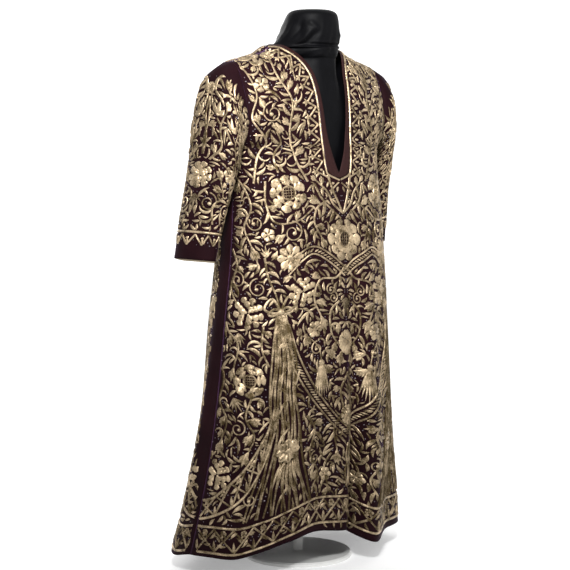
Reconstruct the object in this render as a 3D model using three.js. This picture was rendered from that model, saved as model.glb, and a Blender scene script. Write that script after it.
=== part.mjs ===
// An embroidered velvet kaftan, worn by a limbless dress form on a stand.
// Millimetres, +Z up. The front faces -Y and +X is the wearer's left.
// The origin is the centre of the stand's base, on the floor.
import * as THREE from "three";

// ---- driving dimensions: cloth ----
const VELVET_WALL = 2;
const BINDING_WALL = 1.4;
const FACING_WALL = 1;
const SEAM_GAP = 0.4;
const RIDGE_GAP = 0.6; // wider, because the walls lean together under the shoulder ridge
const FOLD_FADE = 70; // folds die away over this much cloth beside a side seam
const NECK_HEIGHT = 1405; // where the shoulder ridge meets the neck opening
const ARMPIT_DROP = 275; // below the neck point
const HEM_DROP = 1355; // nominal length of a panel below the neck point
const SECTION_POWER = 0.88; // 1 is an ellipse, less is squarer
const SHOULDER_DEPTH = 200; // height over which the shoulders round into the chest
const SHOULDER_POWER = 0.33;
const FACING_DEPTH = 26;

// The shoulder ridge, seen from the front.
const SHOULDER_COLUMNS = ["fromCentre", "height"];
const SHOULDER_ROWS = [
  [0, 1412],
  [60, 1411],
  [100, 1405],
  [145, 1383],
  [205, 1368],
  [265, 1355],
  [330, 1340],
];

// Level sections of the body, without folds.
const BODY_COLUMNS = ["height", "halfWidth", "centreY", "halfDepth"];
const BODY_ROWS = [
  [30, 372, 45, 226],
  [90, 359, 37, 219],
  [280, 326, 15, 203],
  [480, 303, -1, 190],
  [680, 281, -6, 180],
  [850, 265, -12, 167],
  [960, 258, -12, 156],
  [1062, 256, -10, 143],
  [1130, 258, -9, 138],
  [1150, 276, -8, 136],
  [1180, 292, -8, 133],
  [1250, 304, -8, 128],
  [1440, 308, -8, 122],
];

// The seam between body and sleeve.
const ARMHOLE_COLUMNS = ["drop", "fromCentre"];
const ARMHOLE_ROWS = [
  [0, 265],
  [60, 264.5],
  [150, 262.5],
  [240, 259],
  [275, 258],
];

// Height of the hem round each panel: -1 is the wearer's right side seam, 1 the left.
const HEM_COLUMNS = ["across", "height"];
const FRONT_HEM_ROWS = [
  [-1, 58],
  [-0.85, 60],
  [-0.68, 57],
  [-0.5, 72],
  [-0.34, 98],
  [-0.18, 112],
  [-0.02, 100],
  [0.1, 80],
  [0.2, 56],
  [0.38, 60],
  [0.6, 60],
  [1, 50],
];
const BACK_HEM_ROWS = [
  [-1, 58],
  [-0.8, 42],
  [-0.6, 46],
  [0, 58],
  [0.6, 50],
  [1, 50],
];

// Folds: where the middle of each lies at its top and at the hem, in cloth measured
// from the centre line, its width, how far it stands out at the hem, how far it leans
// towards the wearer's left, and the heights where it starts and is full.
const FOLD_COLUMNS = ["topAt", "hemAt", "width", "out", "lean", "starts", "full"];
const FRONT_FOLDS = [
  [22, 64, 40, -42, 0, 1010, 110],
  [78, 120, 42, 44, 0, 1010, 110],
  [72, 114, 46, 0, -48, 1010, 110],
  [-190, -190, 60, 9, 0, 900, 50],
  [-90, -90, 60, -8, 0, 900, 50],
  [-290, -290, 50, -8, 0, 900, 50],
  [230, 230, 44, -10, 0, 900, 50],
  [330, 330, 50, 6, 0, 900, 50],
];
const BACK_FOLDS = [
  [-60, -60, 50, -26, 0, 1000, 100],
  [30, 30, 55, 20, 0, 1000, 100],
  [150, 150, 50, -22, 0, 1000, 100],
  [240, 240, 55, 14, 0, 1000, 100],
  [-170, -170, 55, 14, 0, 1000, 100],
  [-280, -280, 50, -14, 0, 1000, 100],
];

// The neck opening and its binding, from the neck point (0) down the slit to its end (1).
const SLIT_COLUMNS = ["along", "innerDrop", "innerHalf", "outerDrop", "outerHalf"];
const SLIT_ROWS = [
  [0, 0, 100, 0, 110],
  [0.08, 12, 95, 13, 105],
  [0.16, 30, 83, 31, 92],
  [0.24, 50, 70, 51, 79],
  [0.34, 85, 55, 86, 65],
  [0.46, 135, 48, 136, 58],
  [0.62, 220, 38, 221, 52],
  [0.76, 280, 25, 292, 47],
  [0.85, 312, 14, 332, 42],
  [0.93, 332, 6, 350, 30],
  [1, 344, 0, 358, 0],
];
// The back of the neck, from the neck point (0) to the centre (1).
const NAPE_COLUMNS = ["along", "innerDrop", "innerHalf", "outerDrop", "outerHalf"];
const NAPE_ROWS = [
  [0, 0, 100, 0, 110],
  [0.25, 1.1, 90, 3.2, 97],
  [0.5, 2.5, 70, 6, 74],
  [0.75, 4, 40, 8.6, 42],
  [1, 5, 0, 10, 0],
];

// Rings of a sleeve: its outermost and innermost points, its middle from front to back,
// half its depth, and the share of this ring's own shape against the armhole's.
const SLEEVE_COLUMNS = ["outX", "outZ", "inX", "inZ", "centreY", "halfDepth", "own"];
const SLEEVE_ROWS = [
  [292, 1344, 260, 1126, -8, 80, 0.45],
  [314, 1329, 262, 1119, -6, 83, 0.75],
  [326, 1300, 264, 1109, -4, 86, 0.92],
  [330, 1250, 266, 1096, 0, 87, 1],
  [333, 1190, 268, 1076, 4, 86, 1],
  [337, 1130, 270, 1046, 12, 83, 1],
  [345, 1050, 275, 1000, 24, 79, 1],
  [356, 960, 283, 940, 38, 75, 1],
  [364, 895, 289, 884, 47, 72, 1],
  [370, 843, 294, 834, 54, 70, 1],
];
const LEFT_CUFF_LIFT = 20; // the wearer's left sleeve is drawn up a little

// ---- driving dimensions: dress form and stand ----
const RIDGE_CLEARANCE = 3.15; // form below the shoulder ridge: the velvet and a hair more
const BIB_WIDTH = 38; // of the cloth that hangs from the form's neck into the neck opening
const FORM_COLUMNS = ["height", "halfWidth", "centreY", "front", "back", "roundness", "bib"];
const TORSO_ROWS = [
  [700, 158, -5, 106, 106, 2.2, 0],
  [712, 164, -5, 110, 110, 2.2, 0],
  [770, 167, -5, 112, 112, 2.2, 0],
  [860, 150, -8, 100, 96, 2.2, 0],
  [950, 130, -10, 92, 86, 2.2, 0],
  [1040, 142, -14, 106, 98, 2.2, 0],
  [1120, 158, -18, 114, 108, 2.2, 0],
  [1200, 172, -18, 112, 108, 2.1, 0],
  [1270, 188, -16, 104, 100, 2.1, 0],
  [1325, 198, -10, 86, 80, 2, 13],
  [1352, 197, -6, 70, 64, 2, 30],
];
// Rows whose height comes from the shoulder ridge above them.
const FORM_SHOULDER_COLUMNS = ["halfWidth", "centreY", "front", "back", "roundness", "bib"];
const FORM_SHOULDER_ROWS = [
  [188, 0, 56, 54, 2, 50],
  [170, 0, 62, 54, 1.9, 45],
  [150, 0, 70, 52, 1.8, 39],
  [130, 0, 82, 50, 1.65, 28],
  [115, 0, 94, 47, 1.5, 17],
  [104, 0, 104, 40, 1.6, 8],
];
const FORM_NECK_ROWS = [
  [1408, 89, -8, 108, 38, 1.75, 0],
  [1417, 84, -30, 90, 54, 1.9, 0],
  [1431, 76, -46, 77, 65, 1.9, 0],
  [1448, 71, -52, 71, 70, 2, 0],
  [1470, 69, -53, 69, 69, 2, 0],
  [1486, 66, -53, 66, 66, 2, 0],
  [1495, 57, -53, 57, 57, 2, 0],
  [1499, 40, -53, 40, 40, 2, 0],
];
const FORM_TOP = 1500;
const BASE_RADIUS = 150;
const BASE_HEIGHT = 12;
const BASE_EDGE = 4;
const POLE_RADIUS = 14;
const FLANGE_RADIUS = 52;
const FLANGE_HEIGHT = 10;
const REST_GAP = 0.3;

// ---- mesh fineness ----
const HALF_SAMPLES = 160;
const HALVINGS = 40;
// Both panels have their levels in common, so their edges meet along each seam.
const CHEST_DROPS = [0, 2.5, 8, 18, 33, 51, 86, 136, 205, ARMPIT_DROP, 300, 328, 346, 355];
const LOWER_ROWS = 15;
const FRONT_HALF_COLUMNS = 16;
const BACK_HALF_COLUMNS = 13;
const SLEEVE_SIDES = 20;
const FORM_SIDES = 36;

const FRONT = -1;
const BACK = 1;

// ---- small mathematics ----
function named(columns, row) {
  return Object.fromEntries(columns.map((column, i) => [column, row[i]]));
}

function smoothStep(t) {
  const c = Math.min(1, Math.max(0, t));
  return c * c * (3 - 2 * c);
}

function mix(a, b, t) {
  return a + (b - a) * t;
}

// A table's column as a smooth curve that never overshoots its rows.
function tableCurve(columns, rows, column) {
  const c = columns.indexOf(column);
  const steps = rows.slice(1).map((row, i) => row[0] - rows[i][0]);
  const slopes = rows.slice(1).map((row, i) => (row[c] - rows[i][c]) / steps[i]);
  const tangents = rows.map((row, i) => {
    if (i === 0) return slopes[0];
    if (i === rows.length - 1) return slopes[i - 1];
    const [a, b] = [slopes[i - 1], slopes[i]];
    return a * b <= 0 ? 0 : (2 * a * b) / (a + b);
  });
  return (at) => {
    const x = Math.min(rows[rows.length - 1][0], Math.max(rows[0][0], at));
    let i = 0;
    while (i < steps.length - 1 && x > rows[i + 1][0]) i += 1;
    const t = (x - rows[i][0]) / steps[i];
    const t2 = t * t;
    const t3 = t2 * t;
    return (
      (2 * t3 - 3 * t2 + 1) * rows[i][c] +
      (t3 - 2 * t2 + t) * steps[i] * tangents[i] +
      (3 * t2 - 2 * t3) * rows[i + 1][c] +
      (t3 - t2) * steps[i] * tangents[i + 1]
    );
  };
}

const shoulderHeight = tableCurve(SHOULDER_COLUMNS, SHOULDER_ROWS, "height");
const halfWidthAt = tableCurve(BODY_COLUMNS, BODY_ROWS, "halfWidth");
const centreAt = tableCurve(BODY_COLUMNS, BODY_ROWS, "centreY");
const halfDepthAt = tableCurve(BODY_COLUMNS, BODY_ROWS, "halfDepth");
const armholeAt = tableCurve(ARMHOLE_COLUMNS, ARMHOLE_ROWS, "fromCentre");
const hemAt = {
  [FRONT]: tableCurve(HEM_COLUMNS, FRONT_HEM_ROWS, "height"),
  [BACK]: tableCurve(HEM_COLUMNS, BACK_HEM_ROWS, "height"),
};
const foldsOf = {
  [FRONT]: FRONT_FOLDS.map((row) => named(FOLD_COLUMNS, row)),
  [BACK]: BACK_FOLDS.map((row) => named(FOLD_COLUMNS, row)),
};

// ---- the body's surface ----
function rowHeight(face, drop, theta) {
  if (drop < ARMPIT_DROP) return NECK_HEIGHT - drop;
  const below = (drop - ARMPIT_DROP) / (HEM_DROP - ARMPIT_DROP);
  const armpit = NECK_HEIGHT - ARMPIT_DROP;
  return armpit - below * (armpit - hemAt[face](theta / (Math.PI / 2)));
}

// A point of the body before its folds; theta is the angle round from the centre line.
function bodyPoint(face, drop, theta) {
  const level = rowHeight(face, drop, theta);
  const across = Math.sign(theta) * Math.abs(Math.sin(theta)) ** SECTION_POWER;
  const x = halfWidthAt(level) * across;
  const ridge = shoulderHeight(Math.abs(x));
  const follows = 1 - smoothStep(drop / ARMPIT_DROP);
  const z = level + follows * (ridge - NECK_HEIGHT);
  const depth = halfDepthAt(z) * Math.cos(theta) ** SECTION_POWER;
  const rounding = Math.min(1, Math.max(0, (ridge - z) / SHOULDER_DEPTH));
  const stands = Math.sin((Math.PI / 2) * rounding) ** SHOULDER_POWER;
  return new THREE.Vector3(x, (centreAt(z) + face * depth) * stands, z);
}

function thetaOf(drop, fromCentre) {
  const share = Math.min(1, Math.abs(fromCentre) / halfWidthAt(NECK_HEIGHT - drop));
  return Math.sign(fromCentre) * Math.asin(share ** (1 / SECTION_POWER));
}

function seamTheta(drop) {
  return drop < ARMPIT_DROP ? thetaOf(drop, armholeAt(drop)) : Math.PI / 2;
}

function foldOffsets(face, along, height) {
  let out = 0;
  let lean = 0;
  for (const fold of foldsOf[face]) {
    const grown = smoothStep((fold.starts - height) / (fold.starts - fold.full));
    const at = mix(fold.topAt, fold.hemAt, grown);
    const bell = Math.exp(-(((along - at) / fold.width) ** 2));
    out += grown * fold.out * bell;
    lean += grown * fold.lean * bell;
  }
  return { out, lean };
}

// One level of cloth from side seam to side seam, folds included. Each sample keeps its
// distance from the centre line, measured along the smooth section.
function clothRow(face, drop) {
  const reach = seamTheta(drop);
  const samples = [];
  for (let i = -HALF_SAMPLES; i <= HALF_SAMPLES; i += 1) {
    const theta = (reach * i) / HALF_SAMPLES;
    samples.push({ theta, smooth: bodyPoint(face, drop, theta), along: 0 });
  }
  for (let i = 1; i < samples.length; i += 1) {
    const step = samples[i].smooth.distanceTo(samples[i - 1].smooth);
    samples[i].along = samples[i - 1].along + step;
  }
  const middle = samples[HALF_SAMPLES].along;
  for (const sample of samples) sample.along -= middle;
  const seam = samples[samples.length - 1].along;
  samples.forEach((sample, i) => {
    const before = samples[Math.max(0, i - 1)].smooth;
    const after = samples[Math.min(samples.length - 1, i + 1)].smooth;
    const tangent = after.clone().sub(before).setZ(0).normalize();
    const outward = new THREE.Vector3(-face * tangent.y, face * tangent.x, 0);
    const fade = smoothStep((seam - Math.abs(sample.along)) / FOLD_FADE);
    const { out, lean } = foldOffsets(face, sample.along, sample.smooth.z);
    sample.point = sample.smooth.clone().addScaledVector(outward, out * fade);
    sample.point.addScaledVector(tangent, lean * fade);
  });
  return samples;
}

function atAlong(row, along) {
  let i = 1;
  while (i < row.length - 1 && row[i].along < along) i += 1;
  const [a, b] = [row[i - 1], row[i]];
  const t = (along - a.along) / (b.along - a.along);
  return { point: a.point.clone().lerp(b.point, t), theta: mix(a.theta, b.theta, t) };
}

function alongOfTheta(row, theta) {
  let i = 1;
  while (i < row.length - 1 && row[i].theta < theta) i += 1;
  const [a, b] = [row[i - 1], row[i]];
  return mix(a.along, b.along, (theta - a.theta) / (b.theta - a.theta));
}

// ---- sheets with a wall ----
// Points of the outer face and its quads, counter-clockwise from outside, become one
// closed solid: the wall goes inwards and every open edge gets a rim. Seam points keep
// the normal they are given, so that two walls that meet there stay parallel.
function sheetGeometry(points, quads, wall, seamNormals = new Map()) {
  const normals = points.map(() => new THREE.Vector3());
  for (const [a, b, c, d] of quads) {
    const across = points[c].clone().sub(points[a]);
    const up = points[d].clone().sub(points[b]);
    const normal = across.cross(up);
    for (const corner of [a, b, c, d]) normals[corner].add(normal);
  }
  const count = points.length;
  const inner = points.map((point, i) =>
    point.clone().addScaledVector(seamNormals.get(i) ?? normals[i].normalize(), -wall),
  );
  const triangles = [];
  const edges = new Map();
  for (const [a, b, c, d] of quads) {
    triangles.push(a, b, c, a, c, d);
    triangles.push(count + a, count + c, count + b, count + a, count + d, count + c);
    for (const [from, to] of [[a, b], [b, c], [c, d], [d, a]]) {
      const key = Math.min(from, to) + "_" + Math.max(from, to);
      if (edges.has(key)) edges.delete(key);
      else edges.set(key, [from, to]);
    }
  }
  for (const [from, to] of edges.values()) {
    triangles.push(from, count + from, count + to, from, count + to, to);
  }
  const geometry = new THREE.BufferGeometry();
  geometry.setFromPoints([...points, ...inner]);
  geometry.setIndex(triangles);
  geometry.computeVertexNormals();
  return geometry;
}

// Rows of points, each as long as the next, as points and quads.
function gridSheet(rows, closed, flip) {
  const points = rows.flat();
  const width = rows[0].length;
  const quads = [];
  for (let r = 0; r + 1 < rows.length; r += 1) {
    for (let c = 0; c + (closed ? 0 : 1) < width; c += 1) {
      const next = (c + 1) % width;
      const quad = [
        r * width + c,
        (r + 1) * width + c,
        (r + 1) * width + next,
        r * width + next,
      ];
      quads.push(flip ? quad.reverse() : quad);
    }
  }
  return { points, quads };
}

// ---- front ----
const slitAt = {
  innerDrop: tableCurve(SLIT_COLUMNS, SLIT_ROWS, "innerDrop"),
  innerHalf: tableCurve(SLIT_COLUMNS, SLIT_ROWS, "innerHalf"),
  outerDrop: tableCurve(SLIT_COLUMNS, SLIT_ROWS, "outerDrop"),
  outerHalf: tableCurve(SLIT_COLUMNS, SLIT_ROWS, "outerHalf"),
};
const SLIT_END = SLIT_ROWS[SLIT_ROWS.length - 1][3];

// Where along 0 to 1 a rising curve reaches a value.
function reaches(curve, value) {
  let low = 0;
  let high = 1;
  for (let i = 0; i < HALVINGS; i += 1) {
    const middle = (low + high) / 2;
    if (curve(middle) < value) low = middle;
    else high = middle;
  }
  return high;
}

// Half the gap in the velvet at a drop: the slit with its binding.
function velvetSlitHalf(drop) {
  return drop >= SLIT_END ? 0 : slitAt.outerHalf(reaches(slitAt.outerDrop, drop));
}

const PANEL_DROPS = [...CHEST_DROPS];
for (let i = 0; i <= LOWER_ROWS; i += 1) {
  PANEL_DROPS.push(mix(SLIT_END, HEM_DROP, i / LOWER_ROWS));
}

function frontGeometry() {
  const points = [];
  const index = [];
  const seamNormals = new Map();
  for (const drop of PANEL_DROPS) {
    const row = clothRow(FRONT, drop);
    const slit = velvetSlitHalf(drop);
    const inner = slit > 0 ? alongOfTheta(row, thetaOf(drop, slit)) : 0;
    const outer = row[row.length - 1].along - SEAM_GAP / 2;
    const indexRow = [];
    for (const side of [-1, 1]) {
      for (let c = 0; c <= FRONT_HALF_COLUMNS; c += 1) {
        const t = side < 0 ? 1 - c / FRONT_HALF_COLUMNS : c / FRONT_HALF_COLUMNS;
        if (side > 0 && c === 0 && slit === 0) {
          indexRow.push(indexRow[indexRow.length - 1]);
          continue;
        }
        const { point } = atAlong(row, side * mix(inner, outer, t));
        if (drop === 0) point.y -= RIDGE_GAP / 2;
        if (t === 1 && drop >= ARMPIT_DROP) {
          seamNormals.set(points.length, new THREE.Vector3(side, 0, 0));
        }
        indexRow.push(points.length);
        points.push(point);
      }
    }
    index.push(indexRow);
  }
  const quads = [];
  for (let r = 0; r + 1 < index.length; r += 1) {
    for (let c = 0; c < index[r].length - 1; c += 1) {
      if (c === FRONT_HALF_COLUMNS) continue;
      quads.push([index[r][c], index[r + 1][c], index[r + 1][c + 1], index[r][c + 1]]);
    }
  }
  return sheetGeometry(points, quads, VELVET_WALL, seamNormals);
}

// ---- back ----
const napeAt = {
  innerDrop: tableCurve(NAPE_COLUMNS, NAPE_ROWS, "innerDrop"),
  innerHalf: tableCurve(NAPE_COLUMNS, NAPE_ROWS, "innerHalf"),
  outerDrop: tableCurve(NAPE_COLUMNS, NAPE_ROWS, "outerDrop"),
  outerHalf: tableCurve(NAPE_COLUMNS, NAPE_ROWS, "outerHalf"),
};

// Where along the nape the velvet's edge is this far from the centre.
function napeAlong(fromCentre) {
  return reaches((along) => -napeAt.outerHalf(along), -Math.abs(fromCentre));
}

function backRow(drop) {
  const row = clothRow(BACK, drop);
  const outer = row[row.length - 1].along - SEAM_GAP / 2;
  const columns = [];
  for (let c = -BACK_HALF_COLUMNS; c <= BACK_HALF_COLUMNS; c += 1) {
    columns.push(atAlong(row, (outer * c) / BACK_HALF_COLUMNS));
  }
  return columns;
}

function backGeometry() {
  const rows = PANEL_DROPS.map((drop) =>
    backRow(drop).map(({ point, theta }) => {
      const overNape = drop < ARMPIT_DROP && Math.abs(point.x) < NAPE_ROWS[0][4];
      const start = overNape ? napeAt.outerDrop(napeAlong(point.x)) : 0;
      const lowered = start + (drop * (ARMPIT_DROP - start)) / ARMPIT_DROP;
      const placed = overNape ? bodyPoint(BACK, lowered, theta) : point;
      if (drop === 0) placed.y += RIDGE_GAP / 2;
      return placed;
    }),
  );
  const { points, quads } = gridSheet(rows, false, true);
  const seamNormals = new Map();
  rows.forEach((row, r) => {
    if (PANEL_DROPS[r] < ARMPIT_DROP) return;
    seamNormals.set(r * row.length, new THREE.Vector3(-1, 0, 0));
    seamNormals.set((r + 1) * row.length - 1, new THREE.Vector3(1, 0, 0));
  });
  return sheetGeometry(points, quads, VELVET_WALL, seamNormals);
}

// ---- binding of the neck and slit ----
function bindingPair(face, tables, along, side) {
  const edge = (drop, half) => bodyPoint(face, drop, side * thetaOf(drop, half));
  const innerEdge = edge(tables.innerDrop(along), tables.innerHalf(along));
  const outerEdge = edge(tables.outerDrop(along), tables.outerHalf(along));
  const width = outerEdge.distanceTo(innerEdge);
  const drawnBack = outerEdge.clone().lerp(innerEdge, SEAM_GAP / width);
  return [drawnBack, drawnBack.clone().lerp(innerEdge, 0.5), innerEdge];
}

function bindingGeometry() {
  const slitAlongs = PANEL_DROPS.filter((drop) => drop <= SLIT_END).map((drop) =>
    drop === SLIT_END ? 1 : reaches(slitAt.outerDrop, drop),
  );
  const napeAlongs = backRow(0)
    .map(({ point }) => point.x)
    .filter((x) => x >= 0 && x < NAPE_ROWS[0][4])
    .map(napeAlong);
  const down = slitAlongs.map((along) => bindingPair(FRONT, slitAt, along, 1));
  const up = slitAlongs.map((along) => bindingPair(FRONT, slitAt, along, -1)).reverse();
  const leftNape = napeAlongs.map((along) => bindingPair(BACK, napeAt, along, 1));
  const rightNape = napeAlongs.map((along) => bindingPair(BACK, napeAt, along, -1));
  const loop = [...down, ...up.slice(1), ...rightNape.reverse(), ...leftNape.slice(1)];
  const columns = loop[0].map((_, c) => loop.map((pair) => pair[c]));
  const { points, quads } = gridSheet(columns, true, false);
  return sheetGeometry(points, quads, BINDING_WALL);
}

// ---- sleeves ----
// The armhole's edge on one face, from the shoulder tip down to the armpit.
function armholeEdge(face, side, share) {
  const samples = 60;
  const edge = [];
  for (let i = 0; i <= samples; i += 1) {
    const drop = ARMPIT_DROP * (i / samples) ** 2;
    edge.push(bodyPoint(face, drop, side * seamTheta(drop)));
  }
  const curve = new THREE.CurvePath();
  for (let i = 0; i < samples; i += 1) {
    curve.add(new THREE.LineCurve3(edge[i], edge[i + 1]));
  }
  return share === 0 ? edge[0] : curve.getPoint(Math.min(1, share));
}

function sleeveRings(side) {
  const half = SLEEVE_SIDES / 2;
  const armhole = [];
  for (let c = 0; c < SLEEVE_SIDES; c += 1) {
    const face = c <= half ? FRONT : BACK;
    const share = c <= half ? c / half : 2 - c / half;
    const point = armholeEdge(face, side, share);
    armhole.push(point.setX(point.x + side * SEAM_GAP));
  }
  const rows = SLEEVE_ROWS.map((values, r) => {
    const ring = named(SLEEVE_COLUMNS, values);
    const lift = side > 0 ? LEFT_CUFF_LIFT * smoothStep(r / (SLEEVE_ROWS.length - 1)) : 0;
    return armhole.map((start, c) => {
      const angle = (c * 2 * Math.PI) / SLEEVE_SIDES;
      const out = (1 + Math.cos(angle)) / 2;
      const own = new THREE.Vector3(
        side * mix(ring.inX, ring.outX, out),
        ring.centreY - ring.halfDepth * Math.sin(angle),
        mix(ring.inZ, ring.outZ, out) + lift,
      );
      return start.clone().lerp(own, ring.own);
    });
  });
  return [armhole, ...rows];
}

function sleeveGeometry(side) {
  const { points, quads } = gridSheet(sleeveRings(side), true, side > 0);
  return sheetGeometry(points, quads, VELVET_WALL);
}

// A facing turned up inside the cuff.
function facingGeometry(side) {
  const rings = sleeveRings(side);
  const cuff = rings[rings.length - 1];
  const above = rings[rings.length - 2];
  const centre = cuff.reduce((sum, p) => sum.add(p), new THREE.Vector3());
  centre.divideScalar(cuff.length);
  const rows = [FACING_DEPTH, 0].map((depth) =>
    cuff.map((point, c) => {
      const up = above[c].clone().sub(point);
      const onWall = point.clone().addScaledVector(up, depth / up.length());
      const before = cuff[(c + cuff.length - 1) % cuff.length];
      const after = cuff[(c + 1) % cuff.length];
      const outward = after.clone().sub(before).cross(up).normalize();
      if (outward.dot(point.clone().sub(centre)) < 0) outward.negate();
      return onWall.addScaledVector(outward, -(VELVET_WALL + REST_GAP));
    }),
  );
  const { points, quads } = gridSheet(rows, true, side > 0);
  return sheetGeometry(points, quads, FACING_WALL);
}

// ---- dress form ----
function formRing(row) {
  const ring = [];
  for (let i = 0; i < FORM_SIDES; i += 1) {
    const angle = (i * 2 * Math.PI) / FORM_SIDES;
    const power = 2 / row.roundness;
    const across = Math.sign(Math.sin(angle)) * Math.abs(Math.sin(angle)) ** power;
    const ahead = Math.sign(Math.cos(angle)) * Math.abs(Math.cos(angle)) ** power;
    const depth = ahead > 0 ? row.front : row.back;
    const x = across * row.halfWidth;
    const bib = ahead > 0 ? row.bib * Math.exp(-((x / BIB_WIDTH) ** 2)) : 0;
    ring.push(new THREE.Vector3(x, row.centreY - ahead * depth - bib, row.height));
  }
  return ring;
}

function formGeometry() {
  const shoulderRows = FORM_SHOULDER_ROWS.map((values) => {
    const row = named(FORM_SHOULDER_COLUMNS, values);
    return { ...row, height: shoulderHeight(row.halfWidth) - RIDGE_CLEARANCE };
  });
  const rows = [
    ...TORSO_ROWS.map((values) => named(FORM_COLUMNS, values)),
    ...shoulderRows,
    ...FORM_NECK_ROWS.map((values) => named(FORM_COLUMNS, values)),
  ];
  const { points, quads } = gridSheet(rows.map(formRing), true, true);
  const triangles = quads.flatMap(([a, b, c, d]) => [a, b, c, a, c, d]);
  const last = rows[rows.length - 1];
  const bottom = points.length;
  points.push(new THREE.Vector3(0, rows[0].centreY, rows[0].height));
  const top = points.length;
  points.push(new THREE.Vector3(0, last.centreY, FORM_TOP));
  const topRing = bottom - FORM_SIDES;
  for (let i = 0; i < FORM_SIDES; i += 1) {
    const next = (i + 1) % FORM_SIDES;
    triangles.push(bottom, next, i);
    triangles.push(top, topRing + i, topRing + next);
  }
  const geometry = new THREE.BufferGeometry();
  geometry.setFromPoints(points);
  geometry.setIndex(triangles);
  geometry.computeVertexNormals();
  return geometry;
}

// ---- stand ----
function baseGeometry() {
  const profile = [
    new THREE.Vector2(0, 0),
    new THREE.Vector2(BASE_RADIUS, 0),
    new THREE.Vector2(BASE_RADIUS, BASE_HEIGHT - BASE_EDGE),
    new THREE.Vector2(BASE_RADIUS - BASE_EDGE, BASE_HEIGHT),
    new THREE.Vector2(0, BASE_HEIGHT),
  ];
  return new THREE.LatheGeometry(profile, FORM_SIDES).rotateX(Math.PI / 2);
}

function discGeometry(radius, from, to) {
  const disc = new THREE.CylinderGeometry(radius, radius, to - from, FORM_SIDES);
  return disc.rotateX(Math.PI / 2).translate(0, 0, (from + to) / 2);
}

// ---- assembly ----
const velvet = { color: 0x2a1526, roughness: 0.85, metalness: 0 };
const silk = { color: 0x4a2423, roughness: 0.6, metalness: 0 };
const lining = { color: 0xb7a68c, roughness: 0.8, metalness: 0 };
const satin = { color: 0x0d0e12, roughness: 0.45, metalness: 0 };
const steel = { color: 0xe4e3e0, roughness: 0.45, metalness: 0 };

const kaftan = new THREE.Group();

function addPiece(name, geometry, finish) {
  const mesh = new THREE.Mesh(geometry, new THREE.MeshStandardMaterial(finish));
  mesh.name = name;
  kaftan.add(mesh);
}

const torsoBottom = TORSO_ROWS[0][0];
const flangeTop = torsoBottom - REST_GAP;
const flangeBottom = flangeTop - FLANGE_HEIGHT;

addPiece("front", frontGeometry(), velvet);
addPiece("back", backGeometry(), velvet);
addPiece("sleeve_right", sleeveGeometry(-1), velvet);
addPiece("sleeve_left", sleeveGeometry(1), velvet);
addPiece("neck_binding", bindingGeometry(), silk);
addPiece("cuff_facing_right", facingGeometry(-1), lining);
addPiece("cuff_facing_left", facingGeometry(1), lining);
addPiece("dress_form", formGeometry(), satin);
addPiece("form_flange", discGeometry(FLANGE_RADIUS, flangeBottom, flangeTop), steel);
addPiece(
  "form_pole",
  discGeometry(POLE_RADIUS, BASE_HEIGHT + REST_GAP, flangeBottom - REST_GAP),
  steel,
);
addPiece("form_base", baseGeometry(), steel);

export default kaftan;
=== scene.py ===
"""An embroidered velvet kaftan on a dress form, as it looks.

Lengths are in millimetres until a mesh is made. The front faces -Y, +X is the wearer's
left and +Z is up. A place on a piece of cloth is (along, down): along is measured round
the body from the centre line, or round a sleeve from its outer line, and down is
measured towards the hem or cuff.
"""

import math

import bmesh
import bpy
import numpy as np
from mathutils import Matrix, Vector
from mathutils.kdtree import KDTree


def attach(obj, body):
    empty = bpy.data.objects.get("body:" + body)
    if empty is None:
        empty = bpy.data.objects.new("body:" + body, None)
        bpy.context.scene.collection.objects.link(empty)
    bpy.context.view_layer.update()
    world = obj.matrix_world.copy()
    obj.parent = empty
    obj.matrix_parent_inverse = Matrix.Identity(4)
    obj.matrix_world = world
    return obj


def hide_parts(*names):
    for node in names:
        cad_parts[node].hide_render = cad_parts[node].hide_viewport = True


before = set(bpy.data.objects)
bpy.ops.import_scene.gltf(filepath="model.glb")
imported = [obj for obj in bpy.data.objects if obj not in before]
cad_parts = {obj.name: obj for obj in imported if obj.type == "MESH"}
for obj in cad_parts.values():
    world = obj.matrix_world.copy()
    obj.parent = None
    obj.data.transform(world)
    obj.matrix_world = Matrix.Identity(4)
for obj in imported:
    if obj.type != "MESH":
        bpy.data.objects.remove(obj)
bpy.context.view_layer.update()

METRE = 0.001  # metres in one millimetre
TINY = 1e-9
FRONT, BACK = -1, 1

# ---- the cut of the cloth, as in the CAD model ----
VELVET_WALL = 2
BINDING_WALL = 1.4
FACING_WALL = 1
SEAM_GAP = 0.4
SEWN_GAP = 0.06  # between front and back down the side seams
RIDGE_GAP = 0.6
FOLD_FADE = 70
NECK_HEIGHT = 1405
ARMPIT_DROP = 275
HEM_DROP = 1355
SECTION_POWER = 0.88
SHOULDER_DEPTH = 200
SHOULDER_POWER = 0.33
FACING_DEPTH = 26
FACING_SLIP = 4
CUFF_SLOPE = 0.2  # of the sleeve away from the body
LEFT_CUFF_LIFT = 20

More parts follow.
